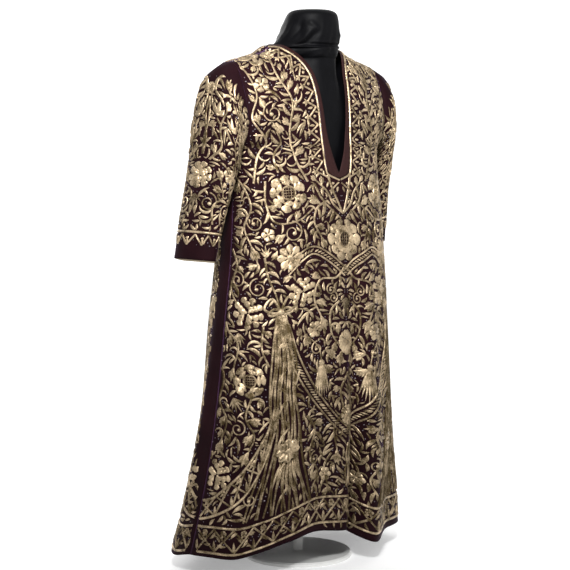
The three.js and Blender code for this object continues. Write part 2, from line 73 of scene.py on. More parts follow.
SHOULDER_COLUMNS = ("from_centre", "height")
SHOULDER_ROWS = [
    (0, 1412), (60, 1411), (100, 1405), (145, 1383), (205, 1368), (265, 1355), (330, 1340),
]
BODY_COLUMNS = ("height", "half_width", "centre_y", "half_depth")
BODY_ROWS = [
    (30, 372, 45, 226),
    (90, 359, 37, 219),
    (280, 326, 15, 203),
    (480, 303, -1, 190),
    (680, 281, -6, 180),
    (850, 265, -12, 167),
    (960, 258, -12, 156),
    (1062, 256, -10, 143),
    (1130, 258, -9, 138),
    (1150, 276, -8, 136),
    (1180, 292, -8, 133),
    (1250, 304, -8, 128),
    (1440, 308, -8, 122),
]
ARMHOLE_COLUMNS = ("drop", "from_centre")
ARMHOLE_ROWS = [(0, 265), (60, 264.5), (150, 262.5), (240, 259), (275, 258)]
HEM_COLUMNS = ("across", "height")
HEM_ROWS = {
    FRONT: [
        (-1, 58), (-0.85, 60), (-0.68, 57), (-0.5, 72), (-0.34, 98), (-0.18, 112),
        (-0.02, 100), (0.1, 80), (0.2, 56), (0.38, 60), (0.6, 60), (1, 50),
    ],
    BACK: [(-1, 58), (-0.8, 42), (-0.6, 46), (0, 58), (0.6, 50), (1, 50)],
}
# Columns: top_at, hem_at, width, out, lean, and the heights where it starts and is full.
FOLD_ROWS = {
    FRONT: [
        (22, 64, 40, -42, 0, 1010, 110),
        (78, 120, 42, 44, 0, 1010, 110),
        (72, 114, 46, 0, -48, 1010, 110),
        (-190, -190, 60, 9, 0, 900, 50),
        (-90, -90, 60, -8, 0, 900, 50),
        (-290, -290, 50, -8, 0, 900, 50),
        (230, 230, 44, -10, 0, 900, 50),
        (330, 330, 50, 6, 0, 900, 50),
    ],
    BACK: [
        (-60, -60, 50, -26, 0, 1000, 100),
        (30, 30, 55, 20, 0, 1000, 100),
        (150, 150, 50, -22, 0, 1000, 100),
        (240, 240, 55, 14, 0, 1000, 100),
        (-170, -170, 55, 14, 0, 1000, 100),
        (-280, -280, 50, -14, 0, 1000, 100),
    ],
}
OPENING_COLUMNS = ("share", "inner_drop", "inner_half", "outer_drop", "outer_half")
OPENING_ROWS = {
    FRONT: [
        (0, 0, 100, 0, 110),
        (0.08, 12, 95, 13, 105),
        (0.16, 30, 83, 31, 92),
        (0.24, 50, 70, 51, 79),
        (0.34, 85, 55, 86, 65),
        (0.46, 135, 48, 136, 58),
        (0.62, 220, 38, 221, 52),
        (0.76, 280, 25, 292, 47),
        (0.85, 312, 14, 332, 42),
        (0.93, 332, 6, 350, 30),
        (1, 344, 0, 358, 0),
    ],
    BACK: [
        (0, 0, 100, 0, 110),
        (0.25, 1.1, 90, 3.2, 97),
        (0.5, 2.5, 70, 6, 74),
        (0.75, 4, 40, 8.6, 42),
        (1, 5, 0, 10, 0),
    ],
}
SLIT_END = OPENING_ROWS[FRONT][-1][3]
SLEEVE_COLUMNS = ("out_x", "out_z", "in_x", "in_z", "centre_y", "half_depth", "own")
SLEEVE_ROWS = [
    (292, 1344, 260, 1126, -8, 80, 0.45),
    (314, 1329, 262, 1119, -6, 83, 0.75),
    (326, 1300, 264, 1109, -4, 86, 0.92),
    (330, 1250, 266, 1096, 0, 87, 1),
    (333, 1190, 268, 1076, 4, 86, 1),
    (337, 1130, 270, 1046, 12, 83, 1),
    (345, 1050, 275, 1000, 24, 79, 1),
    (356, 960, 283, 940, 38, 75, 1),
    (364, 895, 289, 884, 47, 72, 1),
    (370, 843, 294, 834, 54, 70, 1),
]

# ---- small creases, laid on the cloth ----
# Each runs from one place on the cloth to another, is this wide and stands out this far.
# Columns: from_along, from_down, to_along, to_down, width, out.
CREASE_ROWS = {
    FRONT: [
        (-262, 150, -205, 470, 16, -3.5),
        (-285, 265, -235, 620, 15, 3),
        (262, 160, 225, 430, 15, -3.5),
        (285, 270, 240, 560, 14, 3.5),
        (-120, 0, -150, 190, 18, 2.5),
        (130, 0, 150, 210, 18, 2.5),
        (-60, 330, -95, 560, 20, 2.5),
        (40, 370, 30, 640, 16, -3),
        (-330, 700, -350, 1180, 26, 4),
        (-245, 760, -260, 1290, 26, -4.5),
        (-150, 800, -145, 1300, 24, 4),
        (-20, 700, 10, 1290, 22, 4),
        (175, 640, 190, 1290, 22, 6),
        (280, 620, 300, 1290, 26, -5),
        (390, 900, 400, 1340, 26, 4),
        (-410, 900, -430, 1340, 24, -4),
    ],
    BACK: [
        (-255, 160, -190, 480, 18, -4),
        (255, 170, 195, 470, 18, -4),
        (-110, 20, -60, 300, 22, 3),
        (115, 20, 70, 320, 22, 3),
        (0, 120, 10, 480, 20, -3),
        (-120, 560, -125, 1320, 26, -5),
        (95, 620, 92, 1320, 24, 5),
        (200, 700, 205, 1320, 24, 4),
        (330, 640, 350, 1320, 28, 6),
        (-350, 640, -370, 1320, 28, 6),
        (410, 900, 430, 1320, 24, -5),
    ],
    "sleeve": [
        (30, 10, 62, 130, 11, 5),
        (52, 20, 84, 140, 9, -4),
        (-35, 15, -60, 130, 12, 4),
        (0, 55, 10, 190, 12, -3),
        (90, 90, 60, 270, 14, 3),
        (-100, 120, -70, 300, 14, 3),
        (120, 200, 100, 400, 14, -3),
        (-20, 250, 20, 470, 16, 2.5),
        (70, 300, 80, 500, 14, -2.5),
        (150, 60, 130, 260, 16, -4),
    ],
}

# ---- fineness ----
SECTION_SAMPLES = 160
CLOTH_COLUMNS = 241
# The levels of the cloth, closest together at the shoulder.
CLOTH_DROPS = np.concatenate([[0, 1, 3, 6, 10, 15, 21, 28, 37, 48, 60], np.arange(72, 1356, 8)])
CLOTH_DROPS[-1] = HEM_DROP
SLEEVE_RINGS = 70
SLEEVE_AROUND = 121
HALF_PANEL_COLUMNS = 56
BINDING_DOWN, BINDING_ROUND = 70, 24  # steps down one side of the slit, and over half the nape
CROWN = np.array([0, 0.9, 1.1, 0.9, 0])  # the binding's rise across its width

# ---- sizes of the thread work ----
# A band has five points across, at these shares of its half width. It stands up as one
# dome, or as two cords with a groove between them.
ACROSS = np.array([-1, -0.62, 0, 0.62, 1])
DOME = np.array([0, 0.8, 1, 0.8, 0])
GROOVE = np.array([0, 0.95, 0.3, 0.95, 0])
SUNK = -0.5  # edges of thread work lie this far under the nap
STEP = 5  # between the points of a stem
SHORTEST_RUN = 3  # points of a band that are still worth sewing
LEAF_STEPS = 8
PETAL_FOOT = (0.25, 0.3)  # least share of a petal's width at its first two points
PAINTED_SHEEN_BY_WAY, PAINTED_SHEEN_TURN, CHANCE_TONE = 0.16, 0.9, 0.2  # painted sheen: thread made paler or darker by the way it runs, and tone that differs by chance

EDGE_MARGIN = 5  # thread work stays this far inside the edges of its cloth
# Velvet left plain beside each side seam, as (down, width).
FRONT_PLAIN = [(275, 4), (400, 3), (1330, 4)]
BACK_PLAIN = [(275, 4), (400, 40), (760, 52), (1080, 52), (1230, 12)]
GOLD_DIVIDE = 700  # the thread work of a panel is two meshes, above and below this
EVERYWHERE = (-1e4, 1e4)  # from above any piece to below it

CELL = 2.5  # of the map that shows where thread already lies
SAMPLES = np.linspace(-1, 1, 9)  # places across a band that are marked on that map
NEAREST = 4  # points of thread that are looked at for the room round a place
SCATTER = 0.42  # share of the pace by which a place for a sprig or a sequin may stray
CENTRE_MARGIN = 2.5  # a leaf that is mirrored stays this far from the centre line
LEAF_GAP = 1.6  # between a leaf that grows and what lies beside it
MOST_COVERED = 0.03  # the share of a leaf that may lie over other thread
SPRIG_MARGIN = 7

SEQUIN_RADIUS = 1.6
SEQUIN_SIDES = 6
SEQUIN_RINGS = [(0.3, 0.0), (1, 0.55), (1, 0.25)]  # (share of the radius, rise)
SEQUIN_LIFT = 0.8
SEQUIN_TILT = 0.16
SEQUIN_PACE, SEQUIN_ROOM, SEQUIN_MARGIN = 13, 3.2, 4

rng = np.random.default_rng(7)


# ---- small mathematics ----
def smooth_step(t):
    c = np.clip(t, 0, 1)
    return c * c * (3 - 2 * c)


def unit(vectors, tiny=0):
    """The vectors made one long; tiny keeps a vector without length from dividing by nothing."""
    return vectors / (np.linalg.norm(vectors, axis=-1, keepdims=True) + tiny)


def toward(angle):
    return np.array([math.cos(angle), math.sin(angle)])


def smooth_rows(places, rows, at):
    """Rows of values as a smooth curve through them that never overshoots."""
    places, rows = np.asarray(places, float), np.asarray(rows, float)
    at = np.clip(np.asarray(at, float), places[0], places[-1])
    more = (1,) * (rows.ndim - 1)
    steps = np.diff(places).reshape((-1,) + more)
    slopes = np.diff(rows, axis=0) / steps
    before, after = slopes[:-1], slopes[1:]
    together = np.where(before * after > 0, before + after, 1)
    inner = np.where(before * after > 0, 2 * before * after / together, 0)
    tangents = np.concatenate([slopes[:1], inner, slopes[-1:]])
    i = np.clip(np.searchsorted(places, at, side="right") - 1, 0, len(places) - 2)
    t = ((at - places[i]) / np.diff(places)[i]).reshape(at.shape + more)
    square, cube = t * t, t * t * t
    return (
        (2 * cube - 3 * square + 1) * rows[i]
        + (cube - 2 * square + t) * steps[i] * tangents[i]
        + (3 * square - 2 * cube) * rows[i + 1]
        + (cube - square) * steps[i] * tangents[i + 1]
    )


def table_curve(columns, rows, column):
    values = [row[columns.index(column)] for row in rows]
    places = [row[0] for row in rows]
    return lambda at: smooth_rows(places, values, at)


def lengths_along(points):
    """Distance of each point from the first, along the line through them."""
    steps = np.linalg.norm(np.diff(points, axis=0), axis=-1)
    return np.concatenate([[0], np.cumsum(steps)])


def resample(points, at):
    """The points of a line at these distances from its start."""
    distance = lengths_along(points)
    return np.stack([np.interp(at, distance, p) for p in np.transpose(points)], -1)


def crease_lift(rows, along, down):
    """How far the small creases lift the cloth."""
    lift = np.zeros(np.broadcast(along, down).shape)
    for from_along, from_down, to_along, to_down, width, out in rows:
        span = math.hypot(to_along - from_along, to_down - from_down)
        way = ((to_along - from_along) / span, (to_down - from_down) / span)
        t = ((along - from_along) * way[0] + (down - from_down) * way[1]) / span
        aside = (down - from_down) * way[0] - (along - from_along) * way[1]
        fade = smooth_step(3 * t) * smooth_step(3 * (1 - t))
        lift += out * fade * np.exp(-((aside / width) ** 2))
    return lift


# ---- the body's surface ----
shoulder_height = table_curve(SHOULDER_COLUMNS, SHOULDER_ROWS, "height")
half_width = table_curve(BODY_COLUMNS, BODY_ROWS, "half_width")
centre_y = table_curve(BODY_COLUMNS, BODY_ROWS, "centre_y")
half_depth = table_curve(BODY_COLUMNS, BODY_ROWS, "half_depth")
armhole_at = table_curve(ARMHOLE_COLUMNS, ARMHOLE_ROWS, "from_centre")
hem_height = {face: table_curve(HEM_COLUMNS, HEM_ROWS[face], "height") for face in HEM_ROWS}


def body_point(face, drop, theta):
    """The body without its folds; theta is the angle round from the centre line."""
    drop, theta = np.broadcast_arrays(np.asarray(drop, float), np.asarray(theta, float))
    armpit = NECK_HEIGHT - ARMPIT_DROP
    below = (drop - ARMPIT_DROP) / (HEM_DROP - ARMPIT_DROP)
    lower = armpit - below * (armpit - hem_height[face](theta / (math.pi / 2)))
    level = np.where(drop < ARMPIT_DROP, NECK_HEIGHT - drop, lower)
    x = half_width(level) * np.sign(theta) * np.abs(np.sin(theta)) ** SECTION_POWER
    ridge = shoulder_height(np.abs(x))
    z = level + (1 - smooth_step(drop / ARMPIT_DROP)) * (ridge - NECK_HEIGHT)
    depth = half_depth(z) * np.clip(np.cos(theta), 0, None) ** SECTION_POWER
    rounding = np.clip((ridge - z) / SHOULDER_DEPTH, 0, 1)
    stands = np.sin(math.pi / 2 * rounding) ** SHOULDER_POWER
    return np.stack([x, (centre_y(z) + face * depth) * stands, z], -1)


def theta_of(drop, from_centre):
    share = np.minimum(1, np.abs(from_centre) / half_width(NECK_HEIGHT - drop))
    return np.sign(from_centre) * np.arcsin(share ** (1 / SECTION_POWER))


def opening(face, share):
    """The inner and outer edge of the neck binding, as (drop, from_centre)."""
    at = {c: table_curve(OPENING_COLUMNS, OPENING_ROWS[face], c)(share) for c in OPENING_COLUMNS[1:]}
    return (at["inner_drop"], at["inner_half"]), (at["outer_drop"], at["outer_half"])


SHARES = np.linspace(0, 1, 201)
slit_drops, slit_halves = opening(FRONT, SHARES)[1]
nape_drops, nape_halves = opening(BACK, SHARES)[1]


def velvet_slit_half(drop):
    """Half the gap in the front's velvet."""
    return np.interp(drop, slit_drops, slit_halves, right=0)


def section(face, drop):
    """One level of a panel from side seam to side seam: along, and points with folds."""
    reach = float(theta_of(drop, armhole_at(drop))) if drop < ARMPIT_DROP else math.pi / 2
    theta = np.linspace(-reach, reach, 2 * SECTION_SAMPLES + 1)
    smooth = body_point(face, drop, theta)
    if face == BACK and drop < ARMPIT_DROP:
        inside = np.abs(smooth[:, 0]) < nape_halves[0]
        start = np.interp(-np.abs(smooth[:, 0]), -nape_halves, nape_drops)
        lowered = np.where(inside, start + drop * (ARMPIT_DROP - start) / ARMPIT_DROP, drop)
        smooth = body_point(face, lowered, theta)
    along = lengths_along(smooth)
    along -= along[SECTION_SAMPLES]
    tangent = unit(np.gradient(smooth, axis=0) * (1, 1, 0))
    outward = np.stack([-face * tangent[:, 1], face * tangent[:, 0], 0 * along], -1)
    out, lean = 0 * along, 0 * along
    for top_at, hem_at, width, fold_out, fold_lean, starts, full in FOLD_ROWS[face]:
        grown = smooth_step((starts - smooth[:, 2]) / (starts - full))
        at = top_at + (hem_at - top_at) * grown
        bell = grown * np.exp(-(((along - at) / width) ** 2))
        out += fold_out * bell
        lean += fold_lean * bell
    fade = smooth_step((along[-1] - np.abs(along)) / FOLD_FADE)
    out += crease_lift(CREASE_ROWS[face], along, drop)
    points = smooth + outward * (out * fade)[:, None] + tangent * (lean * fade)[:, None]
    if drop == 0:
        points[:, 1] += face * RIDGE_GAP / 2
    return along, points


# ---- cloth as a map ----
class Cloth:
    """A piece of cloth: for any place on it, its point in the air and the way it faces."""

    def __init__(self, downs, reaches, points, facing):
        self.downs, self.reaches, self.points = downs, reaches, points
        normals = np.cross(np.gradient(points, axis=0), np.gradient(points, axis=1))
        self.normals = unit(normals, TINY) * facing
        self.facing = facing
        self.holes = []
        self.plain = lambda down: 0 * down  # width left bare beside each side edge

    def reach(self, down):
        return np.interp(down, self.downs, self.reaches)

    def place(self, flat, lift):
        """The points of these places, lifted off the cloth."""
        rows, columns = self.points.shape[:2]
        row = np.interp(flat[..., 1], self.downs, np.arange(rows))
        share = np.clip(flat[..., 0] / self.reach(flat[..., 1]), -1, 1)
        column = (share + 1) / 2 * (columns - 1)
        r, c = np.minimum(row.astype(int), rows - 2), np.minimum(column.astype(int), columns - 2)
        u, v = (row - r)[..., None], (column - c)[..., None]

        def blend(grid):
            upper = grid[r, c] * (1 - v) + grid[r, c + 1] * v
            lower = grid[r + 1, c] * (1 - v) + grid[r + 1, c + 1] * v
            return upper * (1 - u) + lower * u

        return blend(self.points) + np.asarray(lift)[..., None] * blend(self.normals)

    def holds(self, flat, margin):
        """Whether each place is on the cloth, this far from its edges."""
        along, down = flat[..., 0], flat[..., 1]
        inside = np.abs(along) < self.reach(down) - np.maximum(margin, self.plain(down))
        inside &= (down > self.downs[0] + margin) & (down < self.downs[-1] - margin)
        for hole in self.holes:
            inside &= np.abs(along) > hole(down) + margin
        return inside


def panel_cloth(face):
    sections = [section(face, drop) for drop in CLOTH_DROPS]
    shares = np.linspace(-1, 1, CLOTH_COLUMNS)
    reaches = np.array([along[-1] for along, _ in sections])
    points = []
    for along, line in sections:
        # A hem that is higher on one side makes that half of a section shorter.
        at = np.where(shares < 0, -shares * along[0], shares * along[-1])
        points.append(np.stack([np.interp(at, along, p) for p in line.T], -1))
    points = np.array(points)
    # Down is the cloth's own length, and below the armpit it is the drop.
    down = lengths_along(points[:, CLOTH_COLUMNS // 5])
    level = int(np.searchsorted(CLOTH_DROPS, ARMPIT_DROP))
    downs = np.where(
        np.arange(len(down)) < level, down - down[level] + CLOTH_DROPS[level], CLOTH_DROPS
    )
    return Cloth(downs, reaches, points, facing=-face)


def down_of(cloth, drop):
    return np.interp(drop, CLOTH_DROPS, cloth.downs)


def armhole_loop(side, columns):
    """The armhole's edge, from the shoulder round the front to the armpit and back."""
    drops = ARMPIT_DROP * np.linspace(0, 1, SLEEVE_AROUND) ** 2
    reach = theta_of(drops, armhole_at(drops))
    reach[-1] = math.pi / 2
    edges = {face: body_point(face, drops, side * reach) for face in (FRONT, BACK)}
    loop = []
    for column in columns:
        edge = edges[FRONT if column <= 1 else BACK]
        share = column if column <= 1 else 2 - column
        loop.append(resample(edge, share * lengths_along(edge)[-1]))
    return np.array(loop) + (side * SEAM_GAP, 0, 0)


def sleeve_cloth(side):
    columns = np.linspace(0, 2, SLEEVE_AROUND)
    armhole = armhole_loop(side, columns)
    angle = columns * math.pi
    rings = [armhole]
    for r, row in enumerate(SLEEVE_ROWS):
        ring = dict(zip(SLEEVE_COLUMNS, row))
        out = (1 + np.cos(angle)) / 2
        lift = LEFT_CUFF_LIFT * smooth_step(r / (len(SLEEVE_ROWS) - 1)) if side > 0 else 0
        own = np.stack(
            [
                side * (ring["in_x"] + (ring["out_x"] - ring["in_x"]) * out),
                ring["centre_y"] - ring["half_depth"] * np.sin(angle),
                ring["in_z"] + (ring["out_z"] - ring["in_z"]) * out + lift,
            ],
            -1,
        )
        rings.append(armhole + (own - armhole) * ring["own"])
    rings = np.array(rings)
    levels = np.linspace(0, len(rings) - 1, SLEEVE_RINGS)
    points = smooth_rows(np.arange(len(rings)), rings, levels)
    # The cut opens along the inner line, so that the outer line is in the middle.
    middle = SLEEVE_AROUND // 2
    points = np.concatenate([points[:, middle:-1], points[:, : middle + 1]], axis=1)
    reaches = np.array([lengths_along(ring)[-1] / 2 for ring in points])
    downs = lengths_along(points[:, middle])
    share = np.linspace(-1, 1, SLEEVE_AROUND)
    lift = crease_lift(CREASE_ROWS["sleeve"], reaches[:, None] * share, downs[:, None])
    lift *= smooth_step(downs / FOLD_FADE)[:, None]
    flat = Cloth(downs, reaches, points, facing=-side)
    return Cloth(downs, reaches, points + flat.normals * lift[..., None], facing=-side)


def cloth_area(cloth):
    """Area of one face of the cloth, in square metres."""
    across = cloth.points[1:, 1:] - cloth.points[:-1, :-1]
    other = cloth.points[1:, :-1] - cloth.points[:-1, 1:]
    return float(np.linalg.norm(np.cross(across, other), axis=2).sum() / 2) * METRE**2


# ---- meshes ----
def mesh_piece(name, points, quads, material, slot="velvet", **layers):
    """A piece from points in millimetres and quads, smooth shaded."""
    mesh = bpy.data.meshes.new(name)
    mesh.vertices.add(len(points))
    mesh.vertices.foreach_set("co", (np.asarray(points) * METRE).ravel())
    mesh.loops.add(quads.size)
    mesh.loops.foreach_set("vertex_index", quads.ravel())
    mesh.polygons.add(len(quads))
    mesh.polygons.foreach_set("loop_start", np.arange(0, quads.size, quads.shape[1]))
    mesh.update(calc_edges=True)
    mesh.shade_smooth()
    if "thread" in layers:
        layer = mesh.uv_layers.new(name="thread")
        layer.data.foreach_set("uv", layers["thread"][quads.ravel()].ravel())
    if "tone" in layers:
        tones = mesh.attributes.new("tone", "FLOAT", "POINT")
        tones.data.foreach_set("value", layers["tone"])
    mesh.materials.append(material)
    piece = bpy.data.objects.new(name, mesh)
    bpy.context.scene.collection.objects.link(piece)
    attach(piece, "root")
    return piece


def grid_quads(rows, columns, closed=False):
    r, c = np.meshgrid(np.arange(rows - 1), np.arange(columns - (not closed)), indexing="ij")
    here, beside = r * columns + c, r * columns + (c + 1) % columns
    return np.stack([here, here + columns, beside + columns, beside], -1).reshape(-1, 4)


def walled(points, normals, quads, wall):
    """Points and quads of a closed sheet: the outer face, the inner face and the rims."""
    count = len(points)
    edges = np.concatenate([quads[:, [i, (i + 1) % 4]] for i in range(4)])
    edges = edges[edges[:, 0] != edges[:, 1]]
    keys = np.sort(edges, axis=1)
    _, first, times = np.unique(keys, axis=0, return_index=True, return_counts=True)
    rim = edges[first[times == 1]]
    rims = np.stack([rim[:, 1], rim[:, 0], rim[:, 0] + count, rim[:, 1] + count], -1)
    both = np.concatenate([points, points - normals * wall])
    return both, np.concatenate([quads, quads[:, ::-1] + count, rims])


def used_only(points, normals, quads):
    used, inverse = np.unique(quads, return_inverse=True)
    return points[used], normals[used], inverse.reshape(quads.shape)


def grid_places(along, downs):
    return np.stack([along, np.broadcast_to(downs[:, None], along.shape)], -1)


def cloth_piece(name, cloth, flat, quads, wall, material, slot, lift=0.0):
    """A closed sheet through these places of a cloth."""
    lifts = np.full(flat.shape[:-1], float(lift))
    points = cloth.place(flat, lifts).reshape(-1, 3)
    normals = cloth.place(flat, lifts + 1).reshape(-1, 3) - points
    points, normals, quads = used_only(points, normals, quads)
    points, quads = walled(points, normals, quads, wall)
    return mesh_piece(name, points, quads, material, slot=slot)


def front_piece(cloth, material):
    slit = np.array([slit_along(cloth, drop) for drop in CLOTH_DROPS])
    outer = cloth.reaches - SEWN_GAP / 2
    shares = np.linspace(0, 1, HALF_PANEL_COLUMNS)
    right = -(slit[:, None] + (outer - slit)[:, None] * shares[::-1])
    left = slit[:, None] + (outer - slit)[:, None] * shares
    along = np.concatenate([right, left], axis=1)
    flat = grid_places(along, cloth.downs)
    rows, columns = along.shape
    quads = grid_quads(rows, columns)
    across_slit = quads[:, 0] % columns == HALF_PANEL_COLUMNS - 1
    quads = quads[~across_slit]
    # Below the slit the two halves share their middle points.
    joined = np.arange(rows * columns).reshape(rows, columns)
    closed = slit == 0
    joined[closed, HALF_PANEL_COLUMNS] = joined[closed, HALF_PANEL_COLUMNS - 1]
    quads = joined.ravel()[quads]
    return cloth_piece("front_velvet", cloth, flat, quads, VELVET_WALL, material, "velvet")


def slit_along(cloth, drop):
    """How far from the centre line, along the cloth, the front's velvet begins."""
    half = velvet_slit_half(drop)
    if half == 0:
        return 0.0
    row = int(np.searchsorted(CLOTH_DROPS, drop))
    x = cloth.points[row, :, 0]
    middle = len(x) // 2
    share = np.interp(half, x[middle:], np.linspace(0, 1, len(x) - middle))
    return float(share * cloth.reaches[row])


def back_piece(cloth, material):
    outer = cloth.reaches - SEWN_GAP / 2
    shares = np.linspace(-1, 1, 2 * HALF_PANEL_COLUMNS - 1)
    along = outer[:, None] * shares
    flat = grid_places(along, cloth.downs)
    quads = grid_quads(*along.shape)[:, ::-1]
    return cloth_piece("back_velvet", cloth, flat, quads, VELVET_WALL, material, "velvet")


def tube_piece(name, cloth, side, downs, wall, material, slot, lift=0.0):
    """A closed sheet right round a sleeve."""
    share = np.linspace(-1, 1, SLEEVE_AROUND)[:-1]
    along = np.array([cloth.reach(down) * share for down in downs])
    flat = grid_places(along, downs)
    quads = grid_quads(*along.shape, closed=True)
    if side > 0:
        quads = quads[:, ::-1]
    return cloth_piece(name, cloth, flat, quads, wall, material, slot, lift)


def droop(facing, side):
    """The inner half of a cuff's facing has slipped a little below the velvet."""
    across = [vertex.co.x for vertex in facing.data.vertices]
    middle, half = (max(across) + min(across)) / 2, (max(across) - min(across)) / 2
    for vertex in facing.data.vertices:
        slip = FACING_SLIP * METRE * smooth_step(0.5 - side * (vertex.co.x - middle) / half)
        vertex.co.z -= slip
        vertex.co.x += side * CUFF_SLOPE * slip


def binding_piece(material):
    """The bound edge of the neck, gently rounded across its width."""
    down, nape = np.linspace(0, 1, BINDING_DOWN), np.linspace(0, 1, BINDING_ROUND)
    loop = []
    for face, shares, side in (
        (FRONT, down, 1),
        (FRONT, down[::-1][1:], -1),
        (BACK, nape[1:], -1),
        (BACK, nape[::-1][1:-1], 1),
    ):
        inner, outer = opening(face, shares)
        a = body_point(face, inner[0], side * theta_of(inner[0], inner[1]))
        b = body_point(face, outer[0], side * theta_of(outer[0], outer[1]))
        width = np.linalg.norm(b - a, axis=1, keepdims=True)
        b += (a - b) * SEAM_GAP / width
        loop.append(np.stack([b + (a - b) * t for t in np.linspace(0, 1, len(CROWN))], 1))
    strip = np.concatenate(loop)
    normals = unit(np.cross(np.roll(strip, -1, 0) - np.roll(strip, 1, 0), np.gradient(strip, axis=1)))
    strip = strip + normals * CROWN[None, :, None]
    rows, columns = strip.shape[:2]
    order = np.concatenate([np.arange(rows), [0]])
    index = np.arange(rows * columns).reshape(rows, columns)[order]
    quads = index.ravel()[grid_quads(rows + 1, columns)]
    points, quads = walled(strip.reshape(-1, 3), normals.reshape(-1, 3), quads, BINDING_WALL)
    return mesh_piece("neck_binding_silk", points, quads, material, slot="binding")


# ---- thread work ----
class Ground:
    """A map of the cloth that shows where thread already lies."""

    def __init__(self, cloth):
        wide = cloth.reaches.max()
        self.low = np.array([-wide, cloth.downs[0]])
        size = (np.array([wide, cloth.downs[-1]]) - self.low) / CELL
        self.cells = np.zeros(size.astype(int) + 2, bool)

    def _cells(self, flat):
        index = ((flat - self.low) / CELL).astype(int)
        index = np.clip(index, 0, np.array(self.cells.shape) - 1)
        return index[..., 0], index[..., 1]

    def mark(self, flat):
        self.cells[self._cells(flat)] = True
        self.cells[self._cells((flat[1:] + flat[:-1]) / 2)] = True

    def covered(self, flat):
        return self.cells[self._cells(flat)].mean()


def ways(path, tiny=0):
    """At each point of a path, the way along it and the way aside."""
    tangent = unit(np.gradient(path, axis=0), tiny)
    return tangent, np.stack([tangent[:, 1], -tangent[:, 0]], -1)


def spread(path, halves, shares):
    """The places on both sides of a path, at these shares of its half width."""
    tangent, aside = ways(path, TINY)
    return path[:, None] + aside[:, None] * (halves[:, None] * shares)[..., None], tangent


def leaf_outline(at, angle, length, width, bend):
    """The middle line of a leaf and its half width along it."""
    t = np.linspace(0, 1, LEAF_STEPS)
    turned = angle + bend * (t - 0.5)
    steps = np.stack([np.cos(turned), np.sin(turned)], -1) * length / (LEAF_STEPS - 1)
    path = np.asarray(at, float) + np.concatenate([[[0, 0]], np.cumsum(steps[:-1], axis=0)])
    return path, width / 2 * np.sin(math.pi * np.clip(t, 0.02, 0.97) ** 0.8)


